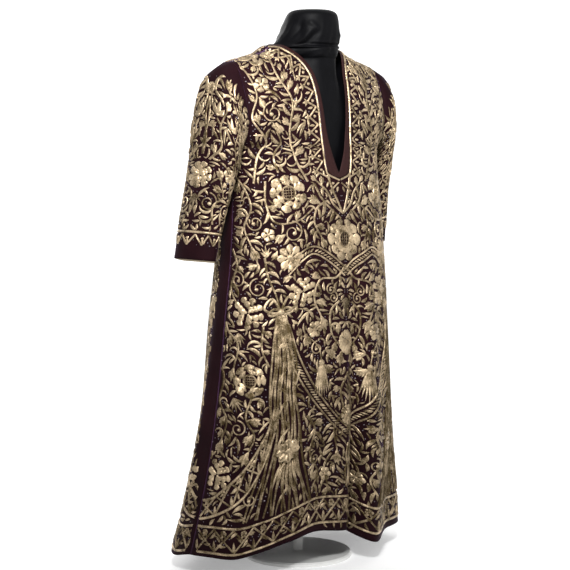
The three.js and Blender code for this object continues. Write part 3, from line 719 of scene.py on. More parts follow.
class ThreadWork:
    """Raised gold thread and sequins on one cloth, each gathered into one mesh."""

    def __init__(self, cloth):
        self.cloth = cloth
        self.sides = (1, -1)
        self.sewn = []
        self.taken = []
        self.ground = Ground(cloth)
        self.stems = []
        self.sequins = []

    def band(self, path, halves, height, tone, profile=DOME, whole=False, margin=EDGE_MARGIN):
        """A raised band along a path; halves is its half width at each point."""
        path = np.asarray(path, float)
        halves = np.broadcast_to(np.asarray(halves, float), len(path))
        for side in self.sides:
            mirrored = path * (side, 1)
            inside = self.cloth.holds(mirrored, margin)
            if whole and not inside.all():
                continue
            edges = np.flatnonzero(np.diff(np.concatenate([[0], inside, [0]])))
            for start, end in edges.reshape(-1, 2):
                if end - start >= SHORTEST_RUN:
                    self._run(mirrored[start:end], halves[start:end], height, tone, profile)

    def _run(self, path, halves, height, tone, profile):
        flat, tangent = spread(path, halves, ACROSS)
        self.ground.mark(spread(path, halves, SAMPLES)[0])
        angle = math.atan2(*tangent.mean(axis=0)[::-1])
        # Painted sheen: the band's tone is made paler or darker by the way its thread runs, with tone
        # that differs by chance on top.
        tone += PAINTED_SHEEN_BY_WAY * math.cos(2 * angle + PAINTED_SHEEN_TURN) + rng.uniform(-CHANCE_TONE, CHANCE_TONE)
        full = np.minimum(1, halves / max(0.6 * halves.max(), 1e-6))
        lift = SUNK + (height - SUNK) * profile * full[:, None] ** 0.5
        distance = lengths_along(path) + rng.uniform(0, 100)
        rows, columns = flat.shape[:2]
        thread = np.stack(np.broadcast_arrays(distance[:, None], halves[:, None] * ACROSS), -1)
        tones, quads = np.full(rows * columns, tone), grid_quads(rows, columns)
        self.sewn.append((flat.reshape(-1, 2), lift.ravel(), thread.reshape(-1, 2), tones, quads))
        self.taken += [(p[0], p[1], h) for p, h in zip(path, halves)]

    # -- single shapes --
    def leaf(self, at, angle, length, width, bend=0.0, tone=0.5, height=2.6):
        path, halves = leaf_outline(at, angle, length, width, bend)
        self.band(path, halves, height, tone, GROOVE, whole=True)

    def grow(self, at, angle, length, width, bend=0.0, tone=0.5, least=0.5):
        """A leaf as large as the free velvet lets it be, or none."""
        for share in np.arange(1, least - 0.01, -0.16):
            path, halves = leaf_outline(at, angle, length * share, width * share, bend)
            if path[:, 0].min() < CENTRE_MARGIN and len(self.sides) > 1:
                continue
            free = spread(path, halves + LEAF_GAP, SAMPLES)[0][3:]
            held = self.cloth.holds(path, EDGE_MARGIN + 2).all()
            if held and self.ground.covered(free) < MOST_COVERED:
                self.band(path, halves, 2.8, tone, GROOVE, whole=True)
                return share * length
        return 0

    def spray(self, at, angle, length, number, tone=0.6):
        """Slender strokes that spread and curl away from one point."""
        for turn in np.linspace(-0.75, 0.75, number):
            size = length * (1 - 0.25 * abs(turn))
            self.grow(at, angle + turn, size, 0.17 * size + 1.5, 1.3 * turn, tone, least=0.4)

    def frond(self, at, angle, length, bend, tone=0.5):
        """A leaf with pointed lobes, where there is room."""
        grown = self.grow(at, angle, length, 0.34 * length, bend, tone)
        if grown < 22:
            return grown
        spine, _ = leaf_outline(at, angle, grown, 1, bend)
        for i, reach in ((2, 0.42), (3, 0.40), (4, 0.34)):
            way = spine[i + 1] - spine[i]
            turned = math.atan2(way[1], way[0])
            for side in (1, -1):
                self.leaf(spine[i], turned + 0.72 * side, reach * grown, 0.17 * grown, -side * 0.5,
                          tone, height=2.2)
        return grown

    def petal(self, at, angle, length, width, tone=0.7, height=3.4):
        """Broad and round at its far end."""
        t = np.linspace(0, 1, LEAF_STEPS)
        halves = width / 2 * np.sin(math.pi * np.clip(t, 0, 0.985) ** 1.6) ** 0.7
        halves[:2] = np.maximum(halves[:2], width / 2 * np.array(PETAL_FOOT))
        path = np.asarray(at, float) + t[:, None] * length * toward(angle)
        self.band(path, halves, height, tone, GROOVE, whole=True)

    def disc(self, at, radius, height, tone):
        t = np.linspace(-0.98, 0.98, 9)
        path = np.asarray(at, float) + np.stack([t * radius, 0 * t], -1)
        self.band(path, radius * np.sqrt(1 - t * t), height, tone, whole=True)

    def stem(self, places, width=6.8, height=2.6, tone=0.5, taper=0.35):
        """Two cords side by side, thinner towards their end."""
        path = smooth_path(places)
        share = np.linspace(0, 1, len(path))
        self.band(path, width / 2 * (1 - taper * share), height, tone, GROOVE)
        return path

    def rope(self, places, width=5.0, height=3.0, tone=0.6, twist=7.0, margin=EDGE_MARGIN):
        path = smooth_path(places, step=2.2)
        beads = np.abs(np.sin(math.pi * lengths_along(path) / twist))
        self.band(path, width / 2 * (0.72 + 0.28 * beads), height, tone, margin=margin)
        return path

    # -- flowers --
    def flower(self, at, radius, petals, tone=0.75):
        for i in range(petals):
            angle = 2 * math.pi * i / petals
            start = np.asarray(at) + 0.2 * radius * toward(angle)
            self.petal(start, angle, 0.8 * radius, 1.5 * math.pi * radius / petals, tone)
        self.disc(at, 0.26 * radius, 4.4, tone - 0.2)

    def rosette(self, at, radius, petals=9):
        """A big shell flower: two rings of scallops round a lattice."""
        at = np.asarray(at, float)
        for ring, (inner, outer, share, tone) in enumerate(
            ((0.52, 1.0, 1.0, 0.6), (0.36, 0.66, 0.72, 0.75))
        ):
            number = int(petals * share)
            for i in range(number):
                angle = 2 * math.pi * (i + 0.5 * ring) / number
                width = 2 * math.pi * radius * (0.86 if ring == 0 else 0.56) / number
                start = at + toward(angle) * inner * radius
                length = (outer - inner) * radius * rng.uniform(0.88, 1.15)
                turned = angle + rng.uniform(-0.2, 0.2)
                self.petal(start, turned, length, width, tone, height=3.2 + 1.4 * ring)
        heart = 0.36 * radius
        around = np.linspace(0, 2 * math.pi, 40)
        circle = at + heart * np.stack([np.cos(around), np.sin(around)], -1)
        self.band(circle, 2.2, 4.2, 0.6)
        for i in range(-2, 3):
            offset = i * heart / 2.6
            half = math.sqrt(heart**2 - offset**2) * 0.95
            t = np.linspace(-half, half, 9)
            self.band(at + np.stack([t, 0 * t + offset], -1), 1.0, 1.6, 0.35)
            self.band(at + np.stack([0 * t + offset, t], -1), 1.0, 2.0, 0.35)

    def cluster(self, at, radius, tone=0.75):
        """A blown rose: crowded petals, larger outside."""
        at = np.asarray(at, float)
        for ring, (number, reach) in enumerate(((9, 0.55), (6, 0.28), (3, 0.05))):
            for i in range(number):
                angle = 2 * math.pi * (i + 0.37 * ring) / number
                start = at + reach * radius * toward(angle)
                shine = tone + 0.06 * ring
                self.petal(start, angle + 0.35, 0.45 * radius, 0.46 * radius, shine, 3 + ring)

    def tulip(self, at, angle, size, tone=0.65):
        for turn, bend, share in ((-0.55, 0.9, 0.9), (0.55, -0.9, 0.9), (0, 0, 1)):
            self.leaf(at, angle + turn, size * share, size * 0.42, bend, tone, height=3.2)
        self.disc(at, size * 0.13, 3.4, tone - 0.15)

    def fan(self, at, angle, opened, number, length, width=6.0, tone=0.6):
        for i in range(number):
            turn = opened * (i / (number - 1) - 0.5)
            reach = length * (1 - 0.35 * abs(2 * i / (number - 1) - 1))
            self.leaf(at, angle + turn, reach, width, 0.5 * turn, tone)

    def scroll(self, at, radius, angle, hand=1, turns=1.35, width=4.6):
        t = np.linspace(0, 1, 34)
        turned = angle + hand * 2 * math.pi * turns * t
        reach = radius * (1 - 0.8 * t)
        path = np.asarray(at, float) + reach[:, None] * np.stack([np.cos(turned), np.sin(turned)], -1)
        self.band(path, width / 2 * (1 - 0.3 * t), 2.4, 0.55)
        self.disc(path[-1], 0.14 * radius + 1.6, 3.2, 0.75)

    # -- growth --
    def branch(self, places, leaf=42.0, stem=6.8):
        """A stem whose leaves grow later, once the flowers have their places."""
        path = self.stem(places, stem)
        self.stems.append((path, leaf))
        return path

    def leaves(self):
        """Leaves, fronds and curls from both sides of every stem in turn."""
        for path, leaf in self.stems:
            distance = lengths_along(path)
            tangent = np.gradient(path, axis=0)
            angles = np.unwrap(np.arctan2(tangent[:, 1], tangent[:, 0]))
            self.frond(path[-1], float(angles[-1]), 1.1 * leaf, rng.uniform(-0.5, 0.5), 0.6)
            side, at = 1, 0.3 * leaf
            while at < distance[-1] - 0.15 * leaf:
                place = resample(path, at)
                angle = float(np.interp(at, distance, angles))
                size = leaf * rng.uniform(0.75, 1.1)
                kind = rng.integers(0, 5)
                if kind == 0:
                    self.grow(place, angle + side * 1.2, 1.4 * size, 8.0, -side * 2.8, 0.6)
                elif kind == 1:
                    self.frond(place, angle + side * 0.9, size, -side * 0.6)
                elif kind == 2:
                    self.spray(place, angle + side * 0.95, size, 3)
                else:
                    bend = side * rng.choice((-1.4, -0.9, 0.9))
                    self.grow(place, angle + side * 0.75, size, 0.27 * size, bend)
                side = -side
                at += leaf * 0.32

    def swag(self, places, width=20.0, pace=11.0):
        """Two ropes side by side, with small cross leaves between them."""
        middle = smooth_path(places)
        tangent, aside = ways(middle)
        for side in (1, -1):
            self.rope(middle + side * (aside * width / 2), 6.0, tone=0.5)
        distance = lengths_along(middle)
        for at in np.arange(pace / 2, distance[-1], pace):
            i = int(np.searchsorted(distance, at))
            angle = math.atan2(tangent[i][1], tangent[i][0]) + 0.7
            start = middle[i] - 0.36 * width * toward(angle)
            self.leaf(start, angle, 0.72 * width, 5.0, tone=0.6)

    def trellis(self, upper, lower, pace, tone=0.5, cord=5.2):
        """Crossing cords between two lines, with flowers above and leaves below."""
        upper, lower = smooth_path(upper), smooth_path(lower)
        lengths = lengths_along(upper)[-1], lengths_along(lower)[-1]
        number = max(2, int(round(lengths[0] / pace)))
        top = [resample(upper, lengths[0] * i / number) for i in range(number + 1)]
        bottom = [resample(lower, lengths[1] * i / number) for i in range(number + 1)]
        for i in range(number):
            for start, end in ((top[i], bottom[i + 1]), (bottom[i], top[i + 1])):
                self.band(np.linspace(start, end, 9), cord / 2, 2.4, tone, GROOVE)
        for i in range(number + 1):
            across = bottom[i] - top[i]
            size = float(np.linalg.norm(across))
            angle = math.atan2(across[1], across[0])
            self.leaf(bottom[i] - 0.03 * across, angle + math.pi, 0.46 * size, 0.14 * size,
                      tone=0.75, height=3.6)
            if i < number:
                heart = top[i] + 0.5 * (top[i + 1] - top[i]) + 0.16 * across
                self.flower(heart, 0.15 * size, 5, 0.6)
                for turn in (0.9, -0.9):
                    self.leaf(heart + 0.1 * across, angle + turn, 0.2 * size, 0.09 * size, tone=0.6)

    def zigzag(self, edge, near, far, pace, tone=0.55):
        """Points that run outwards from an edge, with a sprig in each."""
        edge = smooth_path(edge)
        aside = ways(edge)[1]
        distance = lengths_along(edge)
        number = int(distance[-1] / pace)
        corners = []
        for i in range(2 * number + 1):
            k = min(len(edge) - 1, int(np.searchsorted(distance, i * pace / 2)))
            corners.append(edge[k] + aside[k] * (far if i % 2 else near))
            way = math.atan2(aside[k][1], aside[k][0])
            if i % 2:
                self.leaf(edge[k] + aside[k] * (far + 2), way, 15, 6.5, tone=0.7)
                for hand in (1, -1):
                    start = edge[k] + aside[k] * (far + 1)
                    self.leaf(start, way + hand * 0.9, 12, 5.0, hand * 0.4, tone=0.6)
                self.disc(edge[k] + aside[k] * (near + 0.35 * (far - near)), 4.0, 3.4, 0.75)
            else:
                self.leaf(edge[k] + aside[k] * (near + 12), way, 17, 6.5, tone=0.65)
        for start, end in zip(corners, corners[1:]):
            self.band(np.linspace(start, end, 7), 2.5, 2.6, tone)

    # -- filling --
    def _tree(self):
        tree = KDTree(len(self.taken))
        for i, (along, down, _) in enumerate(self.taken):
            tree.insert((along, down, 0), i)
        tree.balance()
        return tree

    def _room(self, tree, place):
        found = tree.find_n((place[0], place[1], 0), NEAREST)
        return min(distance - self.taken[i][2] for _, i, distance in found)

    def _candidates(self, pace, margin):
        downs = np.arange(self.cloth.downs[0], self.cloth.downs[-1], pace)
        widest = float(self.cloth.reaches.max())
        alongs = np.arange(-widest, widest, pace)
        grid = np.stack(np.meshgrid(alongs, downs), -1).reshape(-1, 2)
        grid = grid + rng.uniform(-SCATTER, SCATTER, grid.shape) * pace
        return grid[self.cloth.holds(grid, margin)]

    def fill(self, pace, least, grow, head, foot):
        """Sprigs in the spaces that are left, each turned the way it has most room."""
        tree = self._tree()
        placed = np.empty((0, 2))
        for place in self._candidates(pace, SPRIG_MARGIN):
            bare = place[1] < head[0] - head[1] * place[0] or place[1] > foot
            if place[0] < 0.6 * least or bare or self._room(tree, place) < least:
                continue
            if len(placed) and np.linalg.norm(placed - place, axis=1).min() < 2.1 * least:
                continue
            placed = np.concatenate([placed, [place]])
            tries = []
            for turn in np.arange(0, 2 * math.pi, math.pi / 4):
                tip = place + 1.6 * least * toward(turn)
                tries.append((self._room(tree, tip), turn))
            room, turn = max(tries)
            grow(self, place, turn, least + max(0.0, room))

    def sprinkle(self, start, end):
        """Sequins in the open velvet."""
        tree = self._tree()
        for place in self._candidates(SEQUIN_PACE, SEQUIN_MARGIN):
            if place[0] > 0 and start < place[1] < end and self._room(tree, place) > SEQUIN_ROOM:
                self.sequins += [place, place * (-1, 1)]

    # -- meshes --
    def gold_piece(self, name, material, start, end):
        """The thread work whose middle lies between two places down the cloth, as one mesh."""
        runs = [run for run in self.sewn if start <= run[0][:, 1].mean() < end]
        flats, lifts, threads, tones, quads = zip(*runs)
        firsts = np.cumsum([0] + [len(flat) for flat in flats[:-1]])
        points = self.cloth.place(np.concatenate(flats), np.concatenate(lifts))
        quads = np.concatenate([own + first for own, first in zip(quads, firsts)])
        if self.cloth.facing < 0:
            quads = quads[:, ::-1]
        tone = np.clip(np.concatenate(tones), 0, 1)
        return mesh_piece(name, points, quads, material, thread=np.concatenate(threads), tone=tone)

    def sequin_piece(self, name, material):
        """Shallow cups, each a little tilted."""
        flat = np.array(self.sequins)
        number = len(flat)
        centre = self.cloth.place(flat, np.full(number, SEQUIN_LIFT))
        out = self.cloth.place(flat, np.full(number, SEQUIN_LIFT + 1)) - centre
        out = unit(out + rng.normal(0, SEQUIN_TILT, out.shape))
        aside = unit(np.cross(out, (0, 0, 1.0)))
        up = np.cross(aside, out)
        around = np.linspace(0, 2 * math.pi, SEQUIN_SIDES, endpoint=False)
        rings = []
        for share, rise in SEQUIN_RINGS:
            reach = SEQUIN_RADIUS * share
            ring = centre[:, None] + out[:, None] * rise
            ring = ring + aside[:, None] * (reach * np.cos(around))[None, :, None]
            ring = ring + up[:, None] * (reach * np.sin(around))[None, :, None]
            rings.append(ring)
        points = np.stack(rings, 1).reshape(-1, 3)
        one = grid_quads(len(SEQUIN_RINGS), SEQUIN_SIDES, closed=True)
        firsts = len(SEQUIN_RINGS) * SEQUIN_SIDES * np.arange(number)
        quads = (one[None] + firsts[:, None, None]).reshape(-1, 4)
        return mesh_piece(name, points, quads, material)


def smooth_path(places, step=STEP):
    """A round curve through the places, with points this far apart."""
    places = np.asarray(places, float)
    if len(places) > 2:
        ends = 2 * places[0] - places[1], 2 * places[-1] - places[-2]
        p = np.concatenate([[ends[0]], places, [ends[1]]])
        t = np.linspace(0, 1, 12, endpoint=False)[:, None]
        parts = []
        for a, b, c, d in zip(p, p[1:], p[2:], p[3:]):
            square, cube = 2 * a - 5 * b + 4 * c - d, 3 * b - a - 3 * c + d
            parts.append(0.5 * (2 * b + (c - a) * t + square * t**2 + cube * t**3))
        places = np.concatenate(parts + [places[-1:]])
    length = lengths_along(places)[-1]
    return resample(places, np.linspace(0, length, max(3, int(length / step))))


# ---- the design ----
UP, DOWNWARDS = -math.pi / 2, math.pi / 2
# The lines of the hem band, as (share of the way to a side seam, down).
HEM_TOP = [(-1, 1277), (-0.6, 1272), (-0.3, 1260), (0, 1255), (0.3, 1260), (0.6, 1270), (1, 1274)]
HEM_FOOT = [(-1, 1343), (-0.6, 1341), (-0.3, 1333), (0, 1328), (0.3, 1331), (0.6, 1334), (1, 1334)]
HEM_PACE = 56
HEM_CORD = 5  # the trellis starts this far inside the two lines
BOW = (214, 706)
RIBBONS = 15
RIBBON_LEAVES = 12
RIBBON_FLOWER = (206, 1092)
RIBBON_PETALS = 8
# Where the ribbon ends run. Columns: middle, wide, down.
RIBBON_ROWS = [
    (214, 22, 716), (213, 44, 770), (210, 62, 850), (216, 72, 940), (212, 84, 1030),
    (222, 108, 1120), (226, 160, 1200), (228, 206, 1260),
]
SLEEVE_HEAD = (84, 0.3)  # velvet left plain over the shoulder: depth at its middle, and slope
CUFF_LINE = 74  # above the cuff's edge
CHEST_BRANCHES = [
    [(112, 366), (146, 300), (160, 220), (146, 140), (176, 60), (168, -20)],
    [(262, 366), (250, 300), (226, 244), (264, 180), (246, 110), (262, 30)],
    [(300, 330), (296, 292), (318, 276)],
    [(196, 338), (206, 296), (186, 250), (200, 214)],
    [(130, 70), (120, 30), (142, -20)],
]
SKIRT_BRANCHES = [
    [(322, 340), (290, 380), (276, 430), (300, 480), (284, 530)],
    [(56, 420), (92, 440), (104, 480), (86, 520)],
    [(232, 360), (236, 420), (214, 470), (150, 470), (104, 440)],
    [(0, 455), (34, 430), (52, 396), (84, 366)],
    [(0, 600), (40, 634), (96, 640), (116, 690), (96, 740)],
    [(350, 520), (330, 580), (352, 640), (330, 690)],
    [(250, 560), (244, 610), (226, 660), (216, 700)],
    [(30, 700), (62, 730), (60, 790), (28, 830)],
    [(376, 690), (366, 750), (332, 790), (346, 850)],
    [(262, 740), (268, 800), (250, 850)],
    [(400, 830), (380, 880), (396, 940), (372, 990), (388, 1040)],
    [(300, 925), (318, 980), (296, 1030), (312, 1070)],
    [(150, 1010), (120, 1060), (140, 1120), (108, 1180), (128, 1226)],
    [(0, 900), (30, 950), (22, 1010), (52, 1060), (40, 1120)],
    [(60, 1130), (84, 1170), (70, 1222)],
    [(0, 1228), (8, 1180), (-6, 1140), (0, 1100)],
    [(440, 1030), (420, 1080), (438, 1120)],
    [(168, 880), (186, 940), (176, 990)],
]
BACK_BRANCHES = [
    [(0, 330), (40, 300), (96, 290), (130, 240), (110, 180), (140, 120), (120, 60)],
    [(230, 380), (214, 310), (240, 240), (214, 170), (236, 90), (216, 20)],
    [(0, 180), (30, 140), (24, 90), (54, 50)],
    [(300, 340), (284, 290), (300, 262)],
    [(160, 330), (178, 290), (160, 250)],
]
SLEEVE_BRANCHES = [
    [(0, 268), (-2, 220), (6, 170), (0, 118)],
    [(22, 280), (52, 240), (44, 190), (66, 140)],
    [(130, 380), (104, 330), (122, 270), (100, 210), (120, 150)],
    [(60, 450), (52, 400), (78, 370), (64, 330)],
    [(150, 300), (166, 250), (150, 200)],
]


def neck_edge(cloth):
    """The edge of the front's velvet, from the neck point to the foot of the slit."""
    drops = np.concatenate([CLOTH_DROPS[CLOTH_DROPS < SLIT_END - 6], [SLIT_END]])
    along = [slit_along(cloth, drop) if drop < SLIT_END else 0 for drop in drops]
    return np.stack([along, down_of(cloth, drops)], -1)


def offset_path(path, offset):
    path = smooth_path(path)
    return path + ways(path)[1] * offset


def embroider_neck(work):
    edge = neck_edge(work.cloth)
    work.rope(offset_path(edge, 5.5), 6.4, tone=0.8, margin=1)
    work.zigzag(edge, near=13, far=40, pace=37)


def embroider_chest(work):
    for places in CHEST_BRANCHES:
        work.branch(places)
    work.scroll((206, 166), 31, UP)
    work.scroll((286, 214), 22, UP, -1)
    work.flower((228, 82), 23, 5)
    work.petal((240, 118), 1.9, 34, 20)
    work.tulip((214, 22), UP, 36)
    work.tulip((276, 120), UP, 30)
    work.cluster((166, -8), 20)


def embroider_skirt(work):
    work.rosette((172, 394), 52)
    work.rosette((0, 527), 60, 10)
    for places in SKIRT_BRANCHES:
        work.branch(places)
    work.stem([(44, 348), (28, 396), (3, 452)], 8, tone=0.6)
    work.stem([(92, 372), (70, 420), (10, 470)], 7)
    work.swag([(196, 606), (150, 570), (110, 556), (60, 580), (0, 620)])
    for at, radius, hand in (
        ((268, 468), 28, 1), ((170, 500), 30, -1), ((272, 640), 26, 1), ((52, 690), 17, -1),
        ((330, 620), 22, -1), ((110, 830), 20, 1), ((60, 668), 16, 1), ((390, 800), 22, 1),
        ((340, 1010), 22, -1), ((120, 1140), 20, 1), ((36, 1070), 16, -1), ((310, 1200), 20, 1),
    ):
        work.scroll(at, radius, UP, hand)
    work.flower((182, 566), 36, 8)
    work.cluster((150, 666), 42)
    work.cluster((302, 706), 44)
    work.flower((116, 776), 24, 6)
    work.flower((0, 816), 36, 7, tone=0.9)
    work.rosette((304, 884), 46, 8)
    work.cluster((402, 1136), 42)
    work.cluster((0, 1020), 30)
    work.flower((236, 500), 18, 5)
    work.flower((340, 440), 20, 5)
    work.flower((80, 1190), 20, 6)
    work.fan((246, 560), UP, 1.6, 5, 34)
    work.fan((330, 760), DOWNWARDS, 1.8, 6, 40)
    work.fan((0, 690), DOWNWARDS, 2.2, 7, 46)
    work.fan((0, 960), UP, 1.8, 5, 40)
    work.fan((350, 930), DOWNWARDS + 0.4, 1.8, 6, 44)
    embroider_bow(work)


def embroider_bow(work):
    """A tied ribbon whose ends fall to the hem, a tassel and draped nets."""
    tie_loops(work)
    ribbon_ends(work)
    flower_on_ribbons(work)
    work.swag([(206, 748), (178, 850), (128, 950), (58, 1030), (0, 1074)], 26, 10)
    outer = [(520, 1216), (486, 1212), (436, 1206), (400, 1190), (330, 1126), (262, 1030), (238, 960)]
    inner = [(520, 1266), (486, 1263), (404, 1243), (330, 1194), (270, 1110), (240, 1030)]
    work.rope(outer, 8)
    work.rope(inner, 8)
    work.trellis(outer, inner, HEM_PACE)
    tassel(work)


def tie_loops(work):
    along, down = BOW
    for hand in (1, -1):
        for rise, far in ((-22, 44), (6, 34)):
            loop = [
                (along, down),
                (along + hand * 0.5 * far, down - 14 + rise),
                (along + hand * far, down + 0.6 * rise),
                (along + hand * 0.55 * far, down + 8 + 0.3 * rise),
                (along, down + 4),
            ]
            work.stem(loop, 7.5, 3.4, 0.62, taper=0.1)
    work.disc((along, down + 2), 9, 5.2, 0.7)


def ribbon_ends(work):
    for i in range(RIBBONS):
        t = i / (RIBBONS - 1) - 0.5
        places = []
        for middle, wide, down in RIBBON_ROWS:
            sway = (2.0 + 0.02 * wide) * math.sin(2.4 * i + 0.021 * down)
            places.append((middle + wide * t + sway, down))
        work.stem(places, 6.2, 3.0 + 0.5 * (i % 3), 0.30 + 0.1 * (i % 3), taper=0.1)
    for i in range(RIBBON_LEAVES):
        half = 12 + 2.8 * i
        lean = 0.45 if i % 2 else -0.45
        start = (BOW[0] + 0.6 * i - half * 1.2 * lean, 748 + 40 * i)
        work.leaf(start, DOWNWARDS - lean, 1.6 * half + 20, 8, 2 * lean, 0.5, height=4.6)


def flower_on_ribbons(work):
    along, down = RIBBON_FLOWER
    for i in range(RIBBON_PETALS):
        angle = i * math.tau / RIBBON_PETALS
        work.petal(RIBBON_FLOWER, angle, 33, 25, 0.78 + 0.08 * (i % 2), 7.0)
    work.disc(RIBBON_FLOWER, 11, 9.0, 0.6)
    for i in range(-3, 4):
        length = 96 - 9 * abs(i)
        work.leaf((along + 6 * i, down + 30), DOWNWARDS - 0.11 * i, length, 9, 0.3, 0.72, height=6.0)


def tassel(work):
    """It hangs inside the inner swag."""
    work.disc((96, 872), 9, 5, 0.8)
    work.rope([(130, 800), (104, 830), (96, 866)], 4)
    for i in range(7):
        t = i / 6 - 0.5
        work.leaf((96 + 12 * t, 880), DOWNWARDS - 0.5 * t, 92 - 30 * abs(t), 7, tone=0.75)


def embroider_hem(work):
    work.sides = (1,)
    reach = float(work.cloth.reach(HEM_TOP[0][1])) - EDGE_MARGIN
    for line in (HEM_TOP, HEM_FOOT):
        work.rope([(share * reach, down) for share, down in line], 8.0, tone=0.55)
    upper = [(share * reach, down + HEM_CORD) for share, down in HEM_TOP]
    lower = [(share * reach, down - HEM_CORD) for share, down in HEM_FOOT]
    work.trellis(upper, lower, HEM_PACE)
    work.sides = (1, -1)


def embroider_back(work):
    work.rosette((0, 250), 54)
    for places in BACK_BRANCHES:
        work.branch(places)
    work.cluster((90, 118), 32)
    work.flower((180, 200), 26, 7)
    work.flower((64, 222), 20, 6)
    work.scroll((250, 170), 26, UP)
    work.scroll((150, 60), 24, UP, -1)
    work.tulip((0, 96), UP, 44)
    work.tulip((190, 40), UP, 36)
    top = [(0, work.cloth.downs[0] + 14), (110, work.cloth.downs[0] + 12)]
    work.rope([top[0], (60, top[0][1] - 1), top[1]], 5.5, tone=0.8)


def embroider_sleeve(work):
    end = float(work.cloth.downs[-1])
    for places in SLEEVE_BRANCHES:
        work.branch(places, leaf=34)
    work.cluster((0, 322), 36)
    work.flower((92, 300), 24, 6)
    work.flower((0, 96), 16, 5)
    work.tulip((34, 160), UP + 0.2, 36)
    work.tulip((88, 176), UP - 0.1, 34)
    work.scroll((38, 392), 26, UP)
    work.scroll((100, 410), 22, UP, -1)
    work.scroll((140, 430), 18, UP)
    work.fan((0, 372), DOWNWARDS, 1.6, 5, 44)
    work.fan((160, 340), UP, 1.4, 5, 34)
    work.sides = (1,)
    level = end - CUFF_LINE
    reach = float(work.cloth.reach(level)) - EDGE_MARGIN
    line = [(-reach, level), (0, level), (reach, level)]
    work.rope(line, 7.5, tone=0.65)
    work.zigzag(line, near=-7, far=-34, pace=38)
    work.sides = (1, -1)


LARGEST_SPRIG, LARGEST_BUD = 46, 26


def sprig(work, place, turn, room):
    """A curved leaf with smaller ones beside it."""
    size = min(LARGEST_SPRIG, 1.9 * room)
    start = place - 0.45 * size * toward(turn)
    bend = rng.choice((-1.0, -0.5, 0.5, 1.0))
    kind = rng.integers(0, 3)
    if kind == 0:
        grown = work.frond(start, turn - 0.3 * bend, size, bend)
    elif kind == 1:
        grown = work.grow(start, turn - 0.4 * bend, size, 0.26 * size, 1.6 * bend)
    else:
        grown = work.grow(start, turn, 1.1 * size, 0.2 * size, bend)
        work.spray(start, turn, size, 4)
    for side in (1, -1):
        work.grow(start, turn + side * 1.15, 0.66 * size, 0.22 * size, -side * 1.0)
    if not grown:
        bud(work, place, turn, room)


def bud(work, place, turn, room):
    size = min(LARGEST_BUD, 2.2 * room)
    start = place - 0.5 * size * toward(turn)
    work.grow(start, turn, size, 0.34 * size, rng.choice((-0.9, 0.9)), 0.55, 0.8)


FILLS = [(16, 11.0, sprig), (11, 7.6, sprig), (8, 5.2, bud), (6, 4.3, bud)]  # (pace, room, kind)
HEAD_SEQUINS = 25  # sequins begin this far above the sprigs
NO_HEAD = (EVERYWHERE[0], 0)


def embroider(cloth, *designs, head=NO_HEAD, foot=EVERYWHERE[1], end=EVERYWHERE[1]):
    """All the thread work of one piece: none at its head, sprigs to its foot, sequins to its end."""
    work = ThreadWork(cloth)
    for design in designs:
        design(work)
    work.leaves()
    for pace, least, kind in FILLS:
        work.fill(pace, least, kind, head, foot)
    work.sprinkle(head[0] - HEAD_SEQUINS, end)
    return work


# ---- dress form ----
# The bib is the cloth that hangs from the neck into the neck opening.
# Columns: height, half_width, centre_y, front, back, roundness, bib, bib_width.
FORM_ROWS = [
    (700, 158, -5, 106, 106, 2.2, 0, 30),
    (712, 164, -5, 110, 110, 2.2, 0, 30),
    (770, 167, -5, 112, 112, 2.2, 0, 30),
    (860, 150, -8, 100, 96, 2.2, 0, 30),
    (950, 130, -10, 92, 86, 2.2, 0, 30),
    (1040, 142, -14, 106, 98, 2.2, 0, 30),
    (1120, 158, -18, 114, 108, 2.2, 0, 30),
    (1200, 172, -18, 112, 108, 2.1, 0, 30),
    (1270, 188, -16, 104, 100, 2.1, 8, 32),
    (1325, 198, -10, 86, 80, 2, 26, 38),
    (1352, 197, -6, 70, 64, 2, 44, 46),
    (1369, 188, 0, 56, 54, 2, 63, 52),
    (1373, 170, 0, 62, 54, 1.9, 59, 54),
    (1378, 150, 0, 70, 52, 1.8, 53, 56),
    (1387, 130, 0, 82, 50, 1.65, 41, 61),
    (1394, 115, 0, 94, 47, 1.5, 31, 66),
    (1400, 104, 0, 109, 43, 1.85, 12, 70),
    (1408, 93, -10, 110, 52, 1.9, 0, 70),
    (1417, 88, -28, 94, 74, 1.95, 0, 70),
    (1431, 82, -42, 82, 92, 1.95, 0, 70),
    (1448, 76, -50, 74, 92, 2, 0, 70),
    (1470, 72, -52, 71, 79, 2, 0, 70),
    (1486, 67, -53, 67, 69, 2, 0, 70),
    (1495, 57, -53, 57, 57, 2, 0, 70),
    (1499, 40, -53, 40, 40, 2, 0, 70),
    (1500, 0.5, -53, 0.5, 0.5, 2, 0, 70),
]
FORM_AROUND = 108
FORM_RINGS = 220
# Soft folds in the cloth round the neck, with the same columns as the small creases above:
# along is round from the front and down is from the top.
FORM_CREASES = [
    (-60, 20, -90, 150, 9, 3.0),
    (-20, 8, -45, 190, 8, 3.5),
    (15, 14, -20, 260, 9, -3.0),
    (48, 10, 20, 300, 9, 3.2),
    (80, 20, 60, 240, 9, -3.2),
    (105, 12, 92, 180, 8, 3.0),
    (-100, 30, -60, 110, 8, -2.6),
    (-130, 20, -140, 120, 9, 3.0),
    (140, 24, 128, 130, 9, 3.0),
    (0, 120, 26, 360, 10, 3.0),
    (-30, 150, -8, 380, 10, -2.6),
    (30, 60, 90, 90, 8, 2.4),
    (-90, 90, 20, 120, 8, 2.2),
    (180, 20, 175, 100, 9, 2.6),
    (-84, 22, -104, 98, 7, -4.0),
    (-52, 44, -74, 100, 7, 4.6),
    (-42, 56, -62, 104, 6, -4.6),
    (-24, 84, -10, 230, 7, 4.2),
    (-10, 100, 2, 250, 6, -3.6),
    (-70, 30, -34, 60, 6, 3.4),
    (-112, 30, -124, 96, 7, 4.0),
]
FORM_ROUND = 75  # radius at which the folds' places are measured
CREASED_HALF, CREASED_FADE, CREASED_TOP = 95, 25, 14


